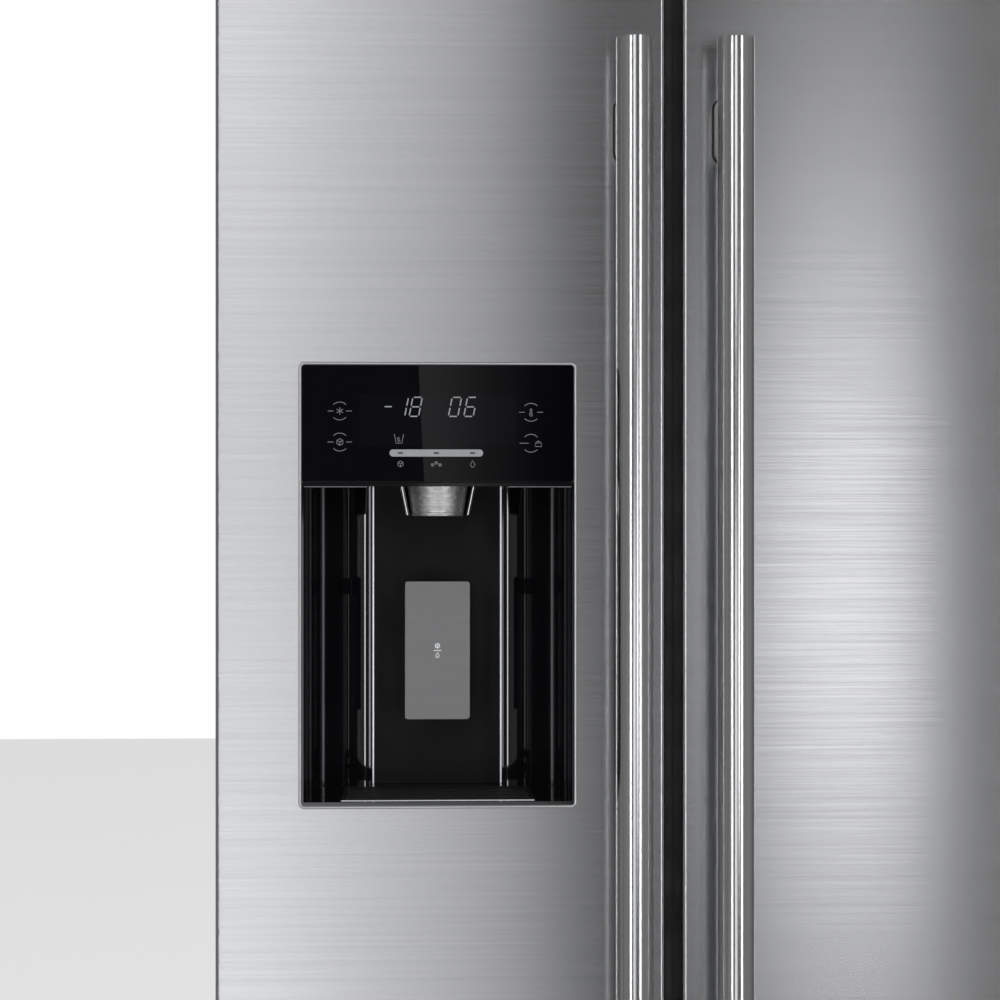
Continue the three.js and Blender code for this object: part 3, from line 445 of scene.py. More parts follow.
DOOR_RADIUS = 4 * MM
DOOR_SHEET = 1.2 * MM
CAP_HEIGHT = 14 * MM
CAP_SEAM = 0.6 * MM
CAP_INSET = 0.3 * MM
HINGE_PIN = {"freezer_door": (-0.437, -0.275), "fridge_door": (0.437, -0.275)}
PIN_BORE = 7.5 * MM


def door_outline(low, high, inset):
    """Plan of a folded door front with rounded front corners, open to the back."""
    x0, x1 = low.x + inset, high.x - inset
    front, back = low.y + inset, high.y
    radius = DOOR_RADIUS - inset
    points = [(x0, back)]
    for step in range(11):
        angle = math.pi * (1 + step / 20)
        points.append((x0 + radius + radius * math.cos(angle), front + radius + radius * math.sin(angle)))
    for step in range(11):
        angle = math.pi * (1.5 + step / 20)
        points.append((x1 - radius + radius * math.cos(angle), front + radius + radius * math.sin(angle)))
    points.append((x1, back))
    return points


def prism(name, outline, z0, z1):
    """Upright prism on a plan outline."""
    return lofted(name, [[(x, y, z) for x, y in outline] for z in (z0, z1)])


def door_front(node, body, opening=False):
    """Stainless door front in folded sheet, with plastic caps at its top and bottom."""
    low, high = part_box(node)
    z0, z1 = low.z + CAP_HEIGHT, high.z - CAP_HEIGHT
    front = prism(node.replace("skin", "front"), door_outline(low, high, 0), z0, z1)
    hollow = [(x, y + (0.01 if y > high.y - MM else 0)) for x, y in door_outline(low, high, DOOR_SHEET)]
    tools = [prism("hollow", hollow, z0 - 0.1, z1 + 0.1)]
    if opening:
        mouth_x = grown((BEZEL_LOW.x, BEZEL_HIGH.x), GAP)
        mouth_z = grown((BEZEL_LOW.z, BEZEL_HIGH.z), GAP)
        tools.append(slab("mouth", "y", mouth_x, mouth_z, (low.y - 0.02, low.y + 0.03), 5.2 * MM, 1e-5))
    boolean(front, "DIFFERENCE", tools)
    softened(front, 0.25 * MM, 1)
    applied(front)
    grain_direction(front, 2, 0)
    fit(smooth(front, 30), body, "stainless", [node])
    cap_outline = door_outline(low + Vector((CAP_INSET, CAP_INSET, 0)), high - Vector((CAP_INSET, 0, 0)), 0)
    for end, cap_low, cap_high in (("top", z1 + CAP_SEAM, high.z), ("bottom", low.z, z0 - CAP_SEAM)):
        cap = prism(f"{body}_{end}_cap", cap_outline, cap_low, cap_high)
        through = grown((cap_low, cap_high), 0.01)
        bore = turned("bore", "z", HINGE_PIN[body], [(PIN_BORE, z) for z in through], 32)
        boolean(cap, "DIFFERENCE", [bore])
        softened(cap, 0.8 * MM, 2)
        applied(cap)
        fit(smooth(cap, 30), body, "grey_plastic", [node])


def handle(side, body):
    """Round bar, its two oblong posts and a thin dark ring round the foot of each post."""
    low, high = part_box(f"{side}_handle_bar")
    radius = (high.x - low.x) / 2
    centre = (low.x + radius, low.y + radius)
    rim = 1.1 * MM
    turns = (0, 0.5, 1.0, 1.571)
    profile = [(radius - rim * (1 - math.sin(t)), low.z + rim * (1 - math.cos(t))) for t in turns]
    profile += [(r, low.z + high.z - z) for r, z in reversed(profile)]
    bar = turned(f"{side}_bar", "z", centre, profile, 160)
    fit(smooth(bar, 50), body, "handle_steel", [f"{side}_handle_bar"])
    for end in ("upper", "lower"):
        node = f"{side}_handle_post_{end}"
        low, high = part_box(node)
        face = DOOR_FACE - GAP
        x, z = grown((low.x, high.x), -1.5 * MM), grown((low.z, high.z), -1.5 * MM)
        post = slab(f"{node}_stem", "y", x, z, (centre[1] + 6 * MM, face - 1.5 * MM), 8 * MM, 0.3 * MM, 10)
        through = grown((low.z, high.z), 0.02)
        groove = turned("groove", "z", centre, [(radius + 0.3 * MM, place) for place in through], 96)
        boolean(post, "DIFFERENCE", [groove])
        fit(smooth(post, 30), body, "post_grey", [node])
        # A thin dark ring round the foot of each post, against the door face.
        ring_x, ring_z = grown((low.x, high.x), 0.3 * MM), grown((low.z, high.z), 0.3 * MM)
        ring = slab(f"{node}_dark_ring", "y", ring_x, ring_z, (face - 1.4 * MM, face), 9.8 * MM, 0.4 * MM, 10)
        fit(smooth(ring, 30), body, "grille_black", [node])


# --------------------------------------------------------------- dispenser

HOUSING_LOW, HOUSING_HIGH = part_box("dispenser_housing")
PANEL_LOW, PANEL_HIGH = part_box("control_panel")
GRILLE_LOW, GRILLE_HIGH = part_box("drip_grille")
PADDLE_LOW, PADDLE_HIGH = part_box("dispenser_paddle")
CHUTE_LOW, CHUTE_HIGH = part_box("ice_chute")
WALL = 1.6 * MM
STRIP_HALF = 58.6 * MM
TRAY_HALF = 90.5 * MM
EAR = (15.4 * MM, 19 * MM)
EAR_FRONT = -0.219
NICHE_HALF = (HOUSING_HIGH.x - HOUSING_LOW.x) / 2 - WALL
NICHE_BACK = HOUSING_HIGH.y - WALL
NICHE_FLOOR = GRILLE_HIGH.z
NICHE_TOP = HOUSING_HIGH.z - 3 * MM


def niche_outline(extra, cheek):
    """Plan of the niche: flat back strip, elliptical flanks and straight cheeks at the front."""
    depth = NICHE_BACK - DOOR_FACE + extra
    reach = NICHE_HALF - STRIP_HALF
    right = [(NICHE_HALF + extra, -cheek)] if cheek else []
    for step in range(41):
        angle = step / 40 * math.pi / 2
        right.append((STRIP_HALF + extra + reach * math.cos(angle), depth * math.sin(angle)))
    points = [(CENTRE_X + x, DOOR_FACE + y) for x, y in right]
    return points + [(CENTRE_X - x, DOOR_FACE + y) for x, y in reversed(right)]


def box_tool(x, y, z):
    """Plain block used only to cut or join."""
    return block("tool", (x[0], y[0], z[0]), (x[1], y[1], z[1]), 0)


def niche():
    """Gloss black niche with the seat for the drip grille, tray, chute hole and paddle ears."""
    body = prism("niche_shell", niche_outline(WALL, 0), NICHE_FLOOR - 3 * MM, HOUSING_HIGH.z)
    tray_x = (CENTRE_X - TRAY_HALF, CENTRE_X + TRAY_HALF)
    tray_y = (GRILLE_LOW.y - 3 * MM, GRILLE_HIGH.y + 4 * MM)
    tray_block = box_tool(tray_x, tray_y, (HOUSING_LOW.z, NICHE_FLOOR - MM))
    pivot_z = (PADDLE_HIGH.z - 16 * MM, PADDLE_HIGH.z - 2 * MM)
    ears = [
        box_tool((CENTRE_X + a, CENTRE_X + b), (EAR_FRONT, NICHE_BACK + MM), pivot_z)
        for a, b in ((-EAR[1], -EAR[0]), EAR)
    ]
    inner = prism("inner", niche_outline(0, 0.02), NICHE_FLOOR, NICHE_TOP)
    grille_x, grille_y = (GRILLE_LOW.x, GRILLE_HIGH.x), (GRILLE_LOW.y, GRILLE_HIGH.y)
    seat = box_tool(grown(grille_x, GAP), grown(grille_y, GAP), (NICHE_FLOOR - 6 * MM, NICHE_FLOOR + MM))
    tray = box_tool(grown(grille_x, -4 * MM), grown(grille_y, -5 * MM),
                    (HOUSING_LOW.z + 3 * MM, NICHE_FLOOR - 4 * MM))
    centre = (CENTRE_X, (CHUTE_LOW.y + CHUTE_HIGH.y) / 2)
    hole = turned("hole", "z", centre, [(29 * MM, NICHE_TOP - 0.02), (29 * MM, NICHE_TOP + 0.02)], 64)
    boolean(body, "UNION", [tray_block])
    boolean(body, "DIFFERENCE", [inner, seat, tray, hole])
    boolean(body, "UNION", ears)
    fit(smooth(body, 25, False), "freezer_door", "black_gloss", ["dispenser_housing"])


def niche_trim():
    """Satin back strip between two thin bright edges, and the bright lip under the panel."""
    y = (NICHE_BACK - 1.2 * MM, NICHE_BACK - 0.1 * MM)
    z = (NICHE_FLOOR + 0.1 * MM, NICHE_TOP - 0.1 * MM)
    strip = slab("back_strip", "y", (CENTRE_X - STRIP_HALF, CENTRE_X + STRIP_HALF), z, y, 0.6 * MM, 0.3 * MM)
    ear_z = (PADDLE_HIGH.z - 17 * MM, PADDLE_HIGH.z - MM)
    gap_cut = [
        box_tool((CENTRE_X + a, CENTRE_X + b), (-0.23, y[1] + MM), ear_z)
        for a, b in ((-EAR[1] - GAP, -EAR[0] + GAP), (EAR[0] - GAP, EAR[1] + GAP))
    ]
    boolean(strip, "DIFFERENCE", gap_cut)
    fit(smooth(strip, 30), "freezer_door", "black_satin")
    for name, side in (("left", -1), ("right", 1)):
        x = CENTRE_X + side * (STRIP_HALF + 0.5 * MM)
        edge_x, edge_y = (x - 0.7 * MM, x + 0.7 * MM), (y[0] - 0.6 * MM, y[1])
        edge = slab(f"{name}_strip_edge", "y", edge_x, z, edge_y, 0.4 * MM, 0.2 * MM)
        fit(smooth(edge, 40), "freezer_door", "bright_edge")
        lip_x = sorted(CENTRE_X + side * reach for reach in (STRIP_HALF + 3 * MM, NICHE_HALF - 0.6 * MM))
        lip = slab(f"{name}_panel_lip", "y", lip_x, (NICHE_TOP - 0.9 * MM, NICHE_TOP - 0.1 * MM),
                   (DOOR_FACE + 0.3 * MM, DOOR_FACE + 3 * MM), 0.3 * MM, 0.15 * MM)
        fit(smooth(lip, 40), "freezer_door", "lip_edge")


def chute():
    """Brushed spout on its tube, in a gloss black half shroud with bright edges."""
    centre = (CENTRE_X, (CHUTE_LOW.y + CHUTE_HIGH.y) / 2)
    radius = (CHUTE_HIGH.x - CHUTE_LOW.x) / 2
    mouth = radius - 5 * MM
    low, bend, high = CHUTE_LOW.z, PANEL_LOW.z, CHUTE_HIGH.z
    profile = [
        (mouth - 0.5 * MM, low), (mouth, low + 0.5 * MM), (mouth + 0.2 * MM, low + 3 * MM),
        (mouth + 0.9 * MM, low + 3.4 * MM), (radius, bend), (radius, high),
        (radius - WALL, high), (radius - WALL, bend),
        (mouth - WALL, low + MM), (mouth - WALL, low + 0.4 * MM),
    ]
    spout = turned("ice_spout", "z", centre, profile, 96, ring=True)
    fit(smooth(spout, 30), "freezer_door", "chute_steel", ["ice_chute"])
    outer, inner = 34.5 * MM, 32.5 * MM
    taper = 5.5 * MM
    z = (low + MM, NICHE_TOP - 0.2 * MM)
    steps = 40
    angles = [math.pi * (-0.12 + 1.24 * i / steps) for i in range(steps + 1)]
    shroud_loops = []
    for r_top, r_low in ((outer, outer - taper), (inner, inner - taper)):
        for place, r in ((z[0], r_low), (z[1], r_top)):
            shroud_loops.append([
                (centre[0] + r * math.cos(a), centre[1] + 0.8 * r * math.sin(a), place) for a in angles
            ])
    outside_low, outside_high, inside_low, inside_high = shroud_loops
    loops = [outside_low + inside_low[::-1], outside_high + inside_high[::-1]]
    fit(smooth(lofted("spout_shroud", loops), 30), "freezer_door", "black_gloss")
    corners = ((-0.4, -0.9), (0.4, -0.9), (0.4, -0.1), (-0.4, -0.1))
    square = [Vector((a * MM, b * MM, 0)) for a, b in corners]
    for name, index in (("right", 0), ("left", -1)):
        ends = (Vector(outside_low[index]), Vector(outside_high[index]))
        edge = lofted(f"{name}_spout_edge", [[end + corner for corner in square] for end in ends])
        fit(edge, "freezer_door", "bright_edge")


def bezel():
    """Thin bright frame with a rounded face."""
    x, z = (BEZEL_LOW.x, BEZEL_HIGH.x), (BEZEL_LOW.z, BEZEL_HIGH.z)
    width = 1.5 * MM
    front, back = BEZEL_LOW.y, BEZEL_HIGH.y
    profile = [(0, back), (0, front + 0.9 * MM)]
    for step in range(7):
        angle = math.pi * step / 6
        inset = width / 2 - width / 2 * math.cos(angle)
        profile.append((inset, front + 0.75 * MM - 0.75 * MM * math.sin(angle)))
    profile += [(width, back)]
    ring = stacked("dispenser_frame", "y", x, z, 5 * MM, profile, ring=True, steps=10)
    fit(smooth(ring, 40, False), "freezer_door", "bezel_chrome", ["dispenser_bezel"])


def paddle():
    """Grey metal plate with softened rims, its pivot barrel and pin, and a generic mark."""
    x, z = (PADDLE_LOW.x, PADDLE_HIGH.x), (PADDLE_LOW.z, PADDLE_HIGH.z)
    y = (PADDLE_LOW.y, PADDLE_LOW.y + 4 * MM)
    plate = slab("paddle_plate", "y", x, z, y, 3.2 * MM, 1.0 * MM, 8)
    pivot_y, pivot_z = PADDLE_HIGH.y - 5 * MM, PADDLE_HIGH.z - 9 * MM
    axis = (pivot_y, pivot_z)
    barrel_x = (CENTRE_X - 15 * MM, CENTRE_X + 15 * MM)
    pin_x = (CENTRE_X - 18.8 * MM, CENTRE_X + 18.8 * MM)
    barrel = turned("barrel", "x", axis, [(5 * MM, x) for x in barrel_x], 32)
    web = box_tool(barrel_x, (y[1] - MM, pivot_y), (pivot_z - 3 * MM, pivot_z + 3 * MM))
    pin = turned("pin", "x", axis, [(2.4 * MM, x) for x in pin_x], 24)
    boolean(plate, "UNION", [barrel, web, pin])
    fit(smooth(plate, 30), "paddle", "paddle_grey", ["dispenser_paddle"])
    middle = (z[0] + z[1]) / 2
    strokes = [
        *cube_icon(0, 4.2, 2.2), ([(-3.6, 0), (3.6, 0)], False), *drop_icon(0, -4.4, 2.0),
    ]
    mark = marks("paddle_mark", strokes, CENTRE_X, middle, y[0] - 0.02 * MM, 0.5)
    fit(mark, "paddle", "mark_pale")


def drip_grille():
    """Drip grille with rounded cross bars and a bright front edge."""
    x, y, z = (GRILLE_LOW.x, GRILLE_HIGH.x), (GRILLE_LOW.y, GRILLE_HIGH.y), (GRILLE_LOW.z, GRILLE_HIGH.z)
    rim = 6 * MM
    soft = 0.4 * MM
    profile = [(0, z[0]), (0, z[1] - soft), (soft, z[1]), (rim - soft, z[1]), (rim, z[1] - soft), (rim, z[0])]
    parts = [stacked("rim", "z", x, y, 2 * MM, profile, ring=True)]
    count = 9
    pitch = (y[1] - y[0] - 2 * rim) / count
    for index in range(1, count):
        centre = (y[0] + rim + index * pitch, z[1] - 2 * MM)
        ends = (x[0] + rim - 0.3 * MM, x[1] - rim + 0.3 * MM)
        parts.append(turned("bar", "x", centre, [(1.8 * MM, ends[0]), (1.8 * MM, ends[1])], 16))
    spine_low = (CENTRE_X - 2 * MM, y[0] + rim, z[0])
    spine_high = (CENTRE_X + 2 * MM, y[1] - rim, z[1] - 2.4 * MM)
    parts.append(block("spine", spine_low, spine_high))
    grille = merged("drip_grille_bars", parts)
    fit(smooth(grille, 35), "grille", "grille_black", ["drip_grille"])
    edge_y, edge_z = (y[0] + 0.2 * MM, y[0] + 1.4 * MM), (z[1] - 0.2 * MM, z[1] + 0.5 * MM)
    edge = slab("grille_front_edge", "x", edge_y, edge_z, (x[0] + MM, x[1] - MM), 0.3 * MM, 0.1 * MM)
    fit(smooth(edge, 40), "grille", "bright_edge")


# ----------------------------------------------------------- panel and marks

def stroke_body(points, closed, width, y, depth):
    """Flat ribbon of even width along a line of (x, z) points in metres."""
    count = len(points)
    rails = []
    for i, point in enumerate(points):
        before = points[i - 1] if i > 0 or closed else point
        after = points[(i + 1) % count] if i < count - 1 or closed else point
        direction = (Vector(after) - Vector(before)).normalized()
        normal = Vector((-direction.y, direction.x)) * width / 2
        rails.append((Vector(point) + normal, Vector(point) - normal))
    back = y + depth
    loops = [[(a.x, y, a.y), (b.x, y, b.y), (b.x, back, b.y), (a.x, back, a.y)] for a, b in rails]
    return lofted("stroke", loops, ring=closed)


def marks(name, strokes, x, z, y, width):
    """Raised print: strokes are lists of (x, z) in mm round a centre, open or closed."""
    parts = []
    for points, closed in strokes:
        placed = [(x + a * MM, z + b * MM) for a, b in points]
        parts.append(stroke_body(placed, closed, width * MM, y - 0.06 * MM, 0.1 * MM))
    return merged(name, parts)


def arc(x, z, radius, start, end, steps=12):
    """Points along an arc, angles in degrees."""
    angles = [math.radians(start + (end - start) * i / steps) for i in range(steps + 1)]
    return [(x + radius * math.cos(a), z + radius * math.sin(a)) for a in angles]


def cube_icon(x, z, size):
    """Outline of an ice cube."""
    hexagon = arc(x, z, size, 30, 330, 5)
    spokes = [([(x, z), hexagon[corner]], False) for corner in (0, 2, 4)]
    return [(hexagon, True), *spokes]


def drop_icon(x, z, size):
    """Outline of a drop."""
    return [(arc(x, z - size * 0.25, size * 0.75, -215, 35, 14) + [(x, z + size * 1.25)], True)]


def flake_icon(x, z, size):
    """Three crossed strokes."""
    strokes = []
    for angle in (90, 30, 150):
        dx, dz = size * math.cos(math.radians(angle)), size * math.sin(math.radians(angle))
        strokes.append(([(x - dx, z - dz), (x + dx, z + dz)], False))
    return strokes


def cup_icon(x, z, size):
    """Tumbler with two cubes in it."""
    foot = size * 0.62
    cup = ([(x - size, z + size), (x - foot, z - size), (x + foot, z - size), (x + size, z + size)], False)
    cube_a = ([(x - 1.6, z + 0.4), (x - 0.2, z + 1.4), (x + 0.6, z + 0.1), (x - 0.8, z - 0.8)], True)
    cube_b = ([(x - 0.9, z - 1.4), (x + 0.9, z - 1.4), (x + 0.9, z - 2.8), (x - 0.9, z - 2.8)], True)
    return [cup, cube_a, cube_b]


def lock_icon(x, z, size):
    """Padlock."""
    top = z + 0.2 * size
    body = [(x - size, z - size), (x + size, z - size), (x + size, top), (x - size, top)]
    return [(body, True), (arc(x, top, 0.62 * size, 180, 0), False)]


def thermometer_icon(x, z, size):
    """Thermometer: bulb and stem."""
    half, foot = 0.32 * size, z - 0.5 * size
    stem = arc(x, z + size, half, 0, 180, 6) + [(x - half, foot), (x + half, foot)]
    return [(arc(x, z - size, 0.55 * size, 130, 410, 14), True), (stem, True)]


SEGMENTS = {"0": "abcdef", "1": "bc", "6": "acdefg", "8": "abcdefg"}
DIGIT_HEIGHT = 16.6
DIGIT_WIDTH = 8.2
DIGIT_SLANT = 0.2


def digit(character, x, z):
    """Slanted seven-segment digit whose lower left corner is at (x, z)."""
    half, nick = DIGIT_HEIGHT / 2, 0.95
    rails = {
        "a": ((nick, 2 * half), (DIGIT_WIDTH - nick, 2 * half)),
        "b": ((DIGIT_WIDTH, half + nick), (DIGIT_WIDTH, 2 * half - nick)),
        "c": ((DIGIT_WIDTH, nick), (DIGIT_WIDTH, half - nick)),
        "d": ((nick, 0), (DIGIT_WIDTH - nick, 0)),
        "e": ((0, nick), (0, half - nick)),
        "f": ((0, half + nick), (0, 2 * half - nick)),
        "g": ((nick, half), (DIGIT_WIDTH - nick, half)),
    }
    strokes = []
    for key in SEGMENTS[character]:
        strokes.append(([(x + u + DIGIT_SLANT * v, z + v) for u, v in rails[key]], False))
    return strokes


def control_panel():
    """Black glass panel, its display window, digits, selector bar and touch marks."""
    x, z = (PANEL_LOW.x, PANEL_HIGH.x), (PANEL_LOW.z, PANEL_HIGH.z)
    front = PANEL_LOW.y
    glass = slab("panel_glass", "y", x, z, (front, PANEL_HIGH.y), 3 * MM, 0.5 * MM, 8)
    fit(smooth(glass, 30), "freezer_door", "panel_glass", ["control_panel"])
    base = z[0] - 2.6 * MM
    window_x, window_z = (CENTRE_X - 68 * MM, CENTRE_X + 68 * MM), (base + 34 * MM, base + 79.5 * MM)
    window_y = (front - 0.04 * MM, front + 0.3 * MM)
    window = slab("display_window", "y", window_x, window_z, window_y, 1 * MM, 0.02 * MM)
    fit(smooth(window, 30), "freezer_door", "display")
    face = front - 0.05 * MM
    digits = []
    for character, place in (("1", -37.2), ("8", -25.2), ("0", 9.0), ("6", 22.4)):
        digits += digit(character, place, 60)
    digits += [([(-46.4, 68.4), (-40.2, 68.4)], False)]
    fit(marks("display_digits", digits, CENTRE_X, base, face, 1.05), "freezer_door", "mark")
    fit(marks("cup_mark", cup_icon(-34, 40.5, 4), CENTRE_X, base, face, 0.4), "freezer_door", "mark_dim")
    bar_x, bar_z = (CENTRE_X - 42.2 * MM, CENTRE_X + 39.2 * MM), (base + 25 * MM, base + 31.2 * MM)
    bar_y = (front - 0.12 * MM, front + 0.2 * MM)
    bar = slab("selector_bar", "y", bar_x, bar_z, bar_y, 3.05 * MM, 0.05 * MM, 12)
    fit(smooth(bar, 30), "freezer_door", "mark")
    places = (-32.7, -1.5, 30.1)
    dashes = [([(place - 2.1, 28.1), (place + 2.1, 28.1)], False) for place in places]
    dash_marks = marks("selector_dashes", dashes, CENTRE_X, base, front - 0.13 * MM, 1.3)
    fit(dash_marks, "freezer_door", "grille_black")
    labels = [*cube_icon(places[0], 18.6, 2.6), *drop_icon(places[2], 18.4, 2.5)]
    for offset, rise in ((-3.2, -0.8), (0, 0.9), (3.2, -0.8)):
        labels += cube_icon(places[1] + offset, 18.6 + rise, 1.3)
    fit(marks("selector_marks", labels, CENTRE_X, base, face, 0.42), "freezer_door", "mark_dim")
    touch = []
    for column, rise in ((-85.4, 64.6), (-85.4, 37.6), (81, 63.7), (81, 36.7)):
        touch += [(arc(column, rise, 7.8, 45, 135), False), (arc(column, rise, 7.8, 225, 315), False)]
    for column, rise in ((-85.4, 64.6), (-85.4, 37.6), (81, 63.7)):
        touch += [([(column + s * 5.5, rise), (column + s * 10.5, rise)], False) for s in (-1, 1)]
    touch += [*flake_icon(-85.4, 64.6, 3.2), *cube_icon(-85.4, 37.6, 3.0), *thermometer_icon(81, 63.7, 2.2)]
    touch += [([(71, 36.7), (79, 36.7)], False), *lock_icon(87.5, 36.4, 2.6)]
    fit(marks("touch_marks", touch, CENTRE_X, base, face, 0.45), "freezer_door", "mark_dim")


# ---------------------------------------------------------- inside the doors

def tub(name, x, y, z, wall, radius, lip):
    """Open container with rounded corners, a thick rim and rounded bottom."""
    profile = [
        (3 * MM, z[0]), (1.2 * MM, z[0] + 0.5 * MM), (0.3 * MM, z[0] + 2 * MM), (0, z[0] + 4 * MM),
        (0, z[1] - 5 * MM), (-lip, z[1] - 4.2 * MM), (-lip, z[1] - 0.5 * MM), (-lip + 0.5 * MM, z[1]),
        (wall - 0.5 * MM, z[1]), (wall, z[1] - 0.6 * MM),
        (wall, z[0] + wall + 3 * MM), (wall + 0.8 * MM, z[0] + wall + MM), (wall + 3 * MM, z[0] + wall),
    ]
    return stacked(name, "z", grown(x, -lip), grown(y, -lip), radius, profile)


def node_ranges(node):
    """The x, y and z limits of a CAD node."""
    low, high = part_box(node)
    return [(low[i], high[i]) for i in range(3)]


def containers():
    """Door bins, drawers and crispers."""
    for body in ("freezer_door", "fridge_door"):
        for node in frame["record"]["behaviour"]["bodies"][body]:
            if "_door_bin_" in node:
                bin_tub = tub(f"{node}_tub", *node_ranges(node), 2.2 * MM, 12 * MM, 0.8 * MM)
                fit(smooth(bin_tub, 30), body, "clear_plastic", [node])
    drawers = {
        "freezer_upper_drawer": "freezer_drawer_upper", "freezer_lower_drawer": "freezer_drawer_lower",
        "upper_crisper": "crisper_upper", "lower_crisper": "crisper_lower",
    }
    for body, node in drawers.items():
        x, y, z = node_ranges(node)
        y = (y[0] + 10 * MM, y[1])
        drawer_tub = tub(f"{node}_tub", x, y, z, 2.2 * MM, 9 * MM, 0.8 * MM)
        fit(smooth(drawer_tub, 30), body, "clear_plastic", [node])
        middle = (x[0] + x[1]) / 2
        grip_x, grip_y = (middle - 90 * MM, middle + 90 * MM), (y[0] - 9.5 * MM, y[0] - 0.2 * MM)
        grip_z = (z[1] - 24 * MM, z[1] - 13 * MM)
        grip = slab(f"{node}_grip", "z", grip_x, grip_y, grip_z, 4 * MM, 2 * MM)
        fit(smooth(grip, 40), body, "grey_plastic", [node])


def shelves():
    """Glass plates in white rims."""
    for node in ("freezer_shelf", "fridge_shelf_1", "fridge_shelf_2", "fridge_shelf_3"):
        x, y, z = node_ranges(node)
        glass_z = (z[0] + 1.5 * MM, z[0] + 5.5 * MM)
        glass = slab(f"{node}_glass", "z", grown(x, -6 * MM), grown(y, -6 * MM), glass_z, 4 * MM, MM)
        fit(smooth(glass, 30), "cabinet", "shelf_glass", [node])
        top = z[1]
        profile = [(0, z[0]), (0, top - 2 * MM), (0.6 * MM, top - 0.6 * MM), (2 * MM, top), (5 * MM, top),
                   (6.5 * MM, top - MM), (7 * MM, z[0] + 6.5 * MM), (10 * MM, z[0] + 6 * MM), (10 * MM, z[0])]
        rim = stacked(f"{node}_rim", "z", x, y, 6 * MM, profile, ring=True)
        fit(smooth(rim, 35), "cabinet", "liner_white", [node])


def gaskets():
    """Ribbed door seals with rounded corners."""
    for side in ("freezer", "fridge"):
        node = f"{side}_gasket"
        x, y, z = node_ranges(node)
        profile = [
            (1.5, 0.0), (0.2, 1.2), (0.2, 2.6), (1.8, 3.4), (0.4, 4.4), (0.0, 6.2), (0.8, 7.6),
            (2.2, 8.2), (2.2, 9.6), (3.4, 11.0),
            (12.2, 11.0), (13.2, 9.8), (13.2, 8.0), (14.8, 6.4), (14.4, 3.0), (12.6, 0.0),
        ]
        depth = y[1] - y[0]
        placed = [(inset * MM, y[0] + rise / 11 * depth) for inset, rise in profile]
        seal = stacked(f"{side}_seal", "y", x, z, 5 * MM, placed, ring=True, steps=4)
        fit(smooth(seal, 40), f"{side}_door", "gasket", [node])


# ------------------------------------------------------------ outer fittings

def hinge_covers():
    """Rounded plastic covers with a parting groove."""
    for side in ("freezer", "fridge"):
        node = f"{side}_hinge_cover"
        x, y, z = node_ranges(node)
        profile = [(2.6 * MM, z[0]), (0.4 * MM, z[0]), (0, z[0] + 0.8 * MM), (0, z[0] + 6 * MM),
                   (0.7 * MM, z[0] + 6.3 * MM), (0.7 * MM, z[0] + 7 * MM), (0, z[0] + 7.3 * MM)]
        for step in range(7):
            angle = math.pi / 2 * step / 6
            profile.append((7 * MM * (1 - math.cos(angle)), z[1] - 7 * MM * (1 - math.sin(angle))))
        cover = stacked(f"{side}_hinge_hood", "z", x, y, 12 * MM, profile, steps=8)
        fit(smooth(cover, 35), "cabinet", "grey_plastic", [node])


def floor_parts():
    """Levelling feet on threaded stems, and grooved rollers on axles."""
    for hand, side in (("left", -1), ("right", 1)):
        low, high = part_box(f"{hand}_foot")
        centre = ((low.x + high.x) / 2, (low.y + high.y) / 2)
        pad = [(19, 0), (20.4, 0.5), (21, 1.8), (21, 8), (20.2, 10), (16, 13), (12, 14)]
        thread = [(6.0 - 0.8 * (i % 2), 20 + i * 1.0) for i in range(60)]
        profile = [(r * MM, h * MM) for r, h in pad] + [(9 * MM, 14 * MM), (9 * MM, 19 * MM)]
        profile += [(r * MM, h * MM) for r, h in thread]
        foot = turned(f"{hand}_foot_pad", "z", centre, profile, 48)
        fit(smooth(foot, 30), f"{hand}_levelling_foot", "dark_plastic", [f"{hand}_foot"])
        low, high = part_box(f"{hand}_roller")
        x, centre = (low.x + high.x) / 2, ((low.y + high.y) / 2, (low.z + high.z) / 2)
        half = [
            (2.9, -13.4), (3.0, -9.2), (9, -9.0), (9, -8), (14, -7.6), (14, -8.8), (19, -8.8),
            (20, -7.8), (20, -2), (18.8, -1.4),
        ]
        profile = [(r * MM, x + w * MM) for r, w in half]
        profile += [(r * MM, x - w * MM) for r, w in reversed(half)]
        wheel = turned(f"{hand}_wheel", "x", centre, profile, 64)
        fit(smooth(wheel, 30), f"{hand}_rear_roller", "tyre_rubber", [f"{hand}_roller"])


KEPT_NODES = {
    "cabinet_shell": 1.2, "freezer_liner": 3.0, "fridge_liner": 3.0, "freezer_door_liner": 2.0,
    "fridge_door_liner": 2.0, "kick_grille": 0.6, "base_pan": 0.8, "ice_maker": 0.8, "ice_bin": 1.0,
    "freezer_top_hinge": 0.6, "freezer_bottom_hinge": 0.6,
    "fridge_top_hinge": 0.6, "fridge_bottom_hinge": 0.6,
}


def dress_kept_nodes():
    """Procedural finishes for the CAD nodes that stay, and rounded edges where they need them."""
    slots = {row["node"]: row["material_slot"] for row in frame["record"]["subparts"]}
    for node, obj in frame["nodes"].items():
        finish = FINISHES[slots[node]]
        if not obj.material_slots:
            obj.data.materials.append(finish)
        for material_slot in obj.material_slots:
            material_slot.material = finish
        if node in KEPT_NODES:
            softened(obj, KEPT_NODES[node] * MM)


# ---------------------------------------------------------- light and stage

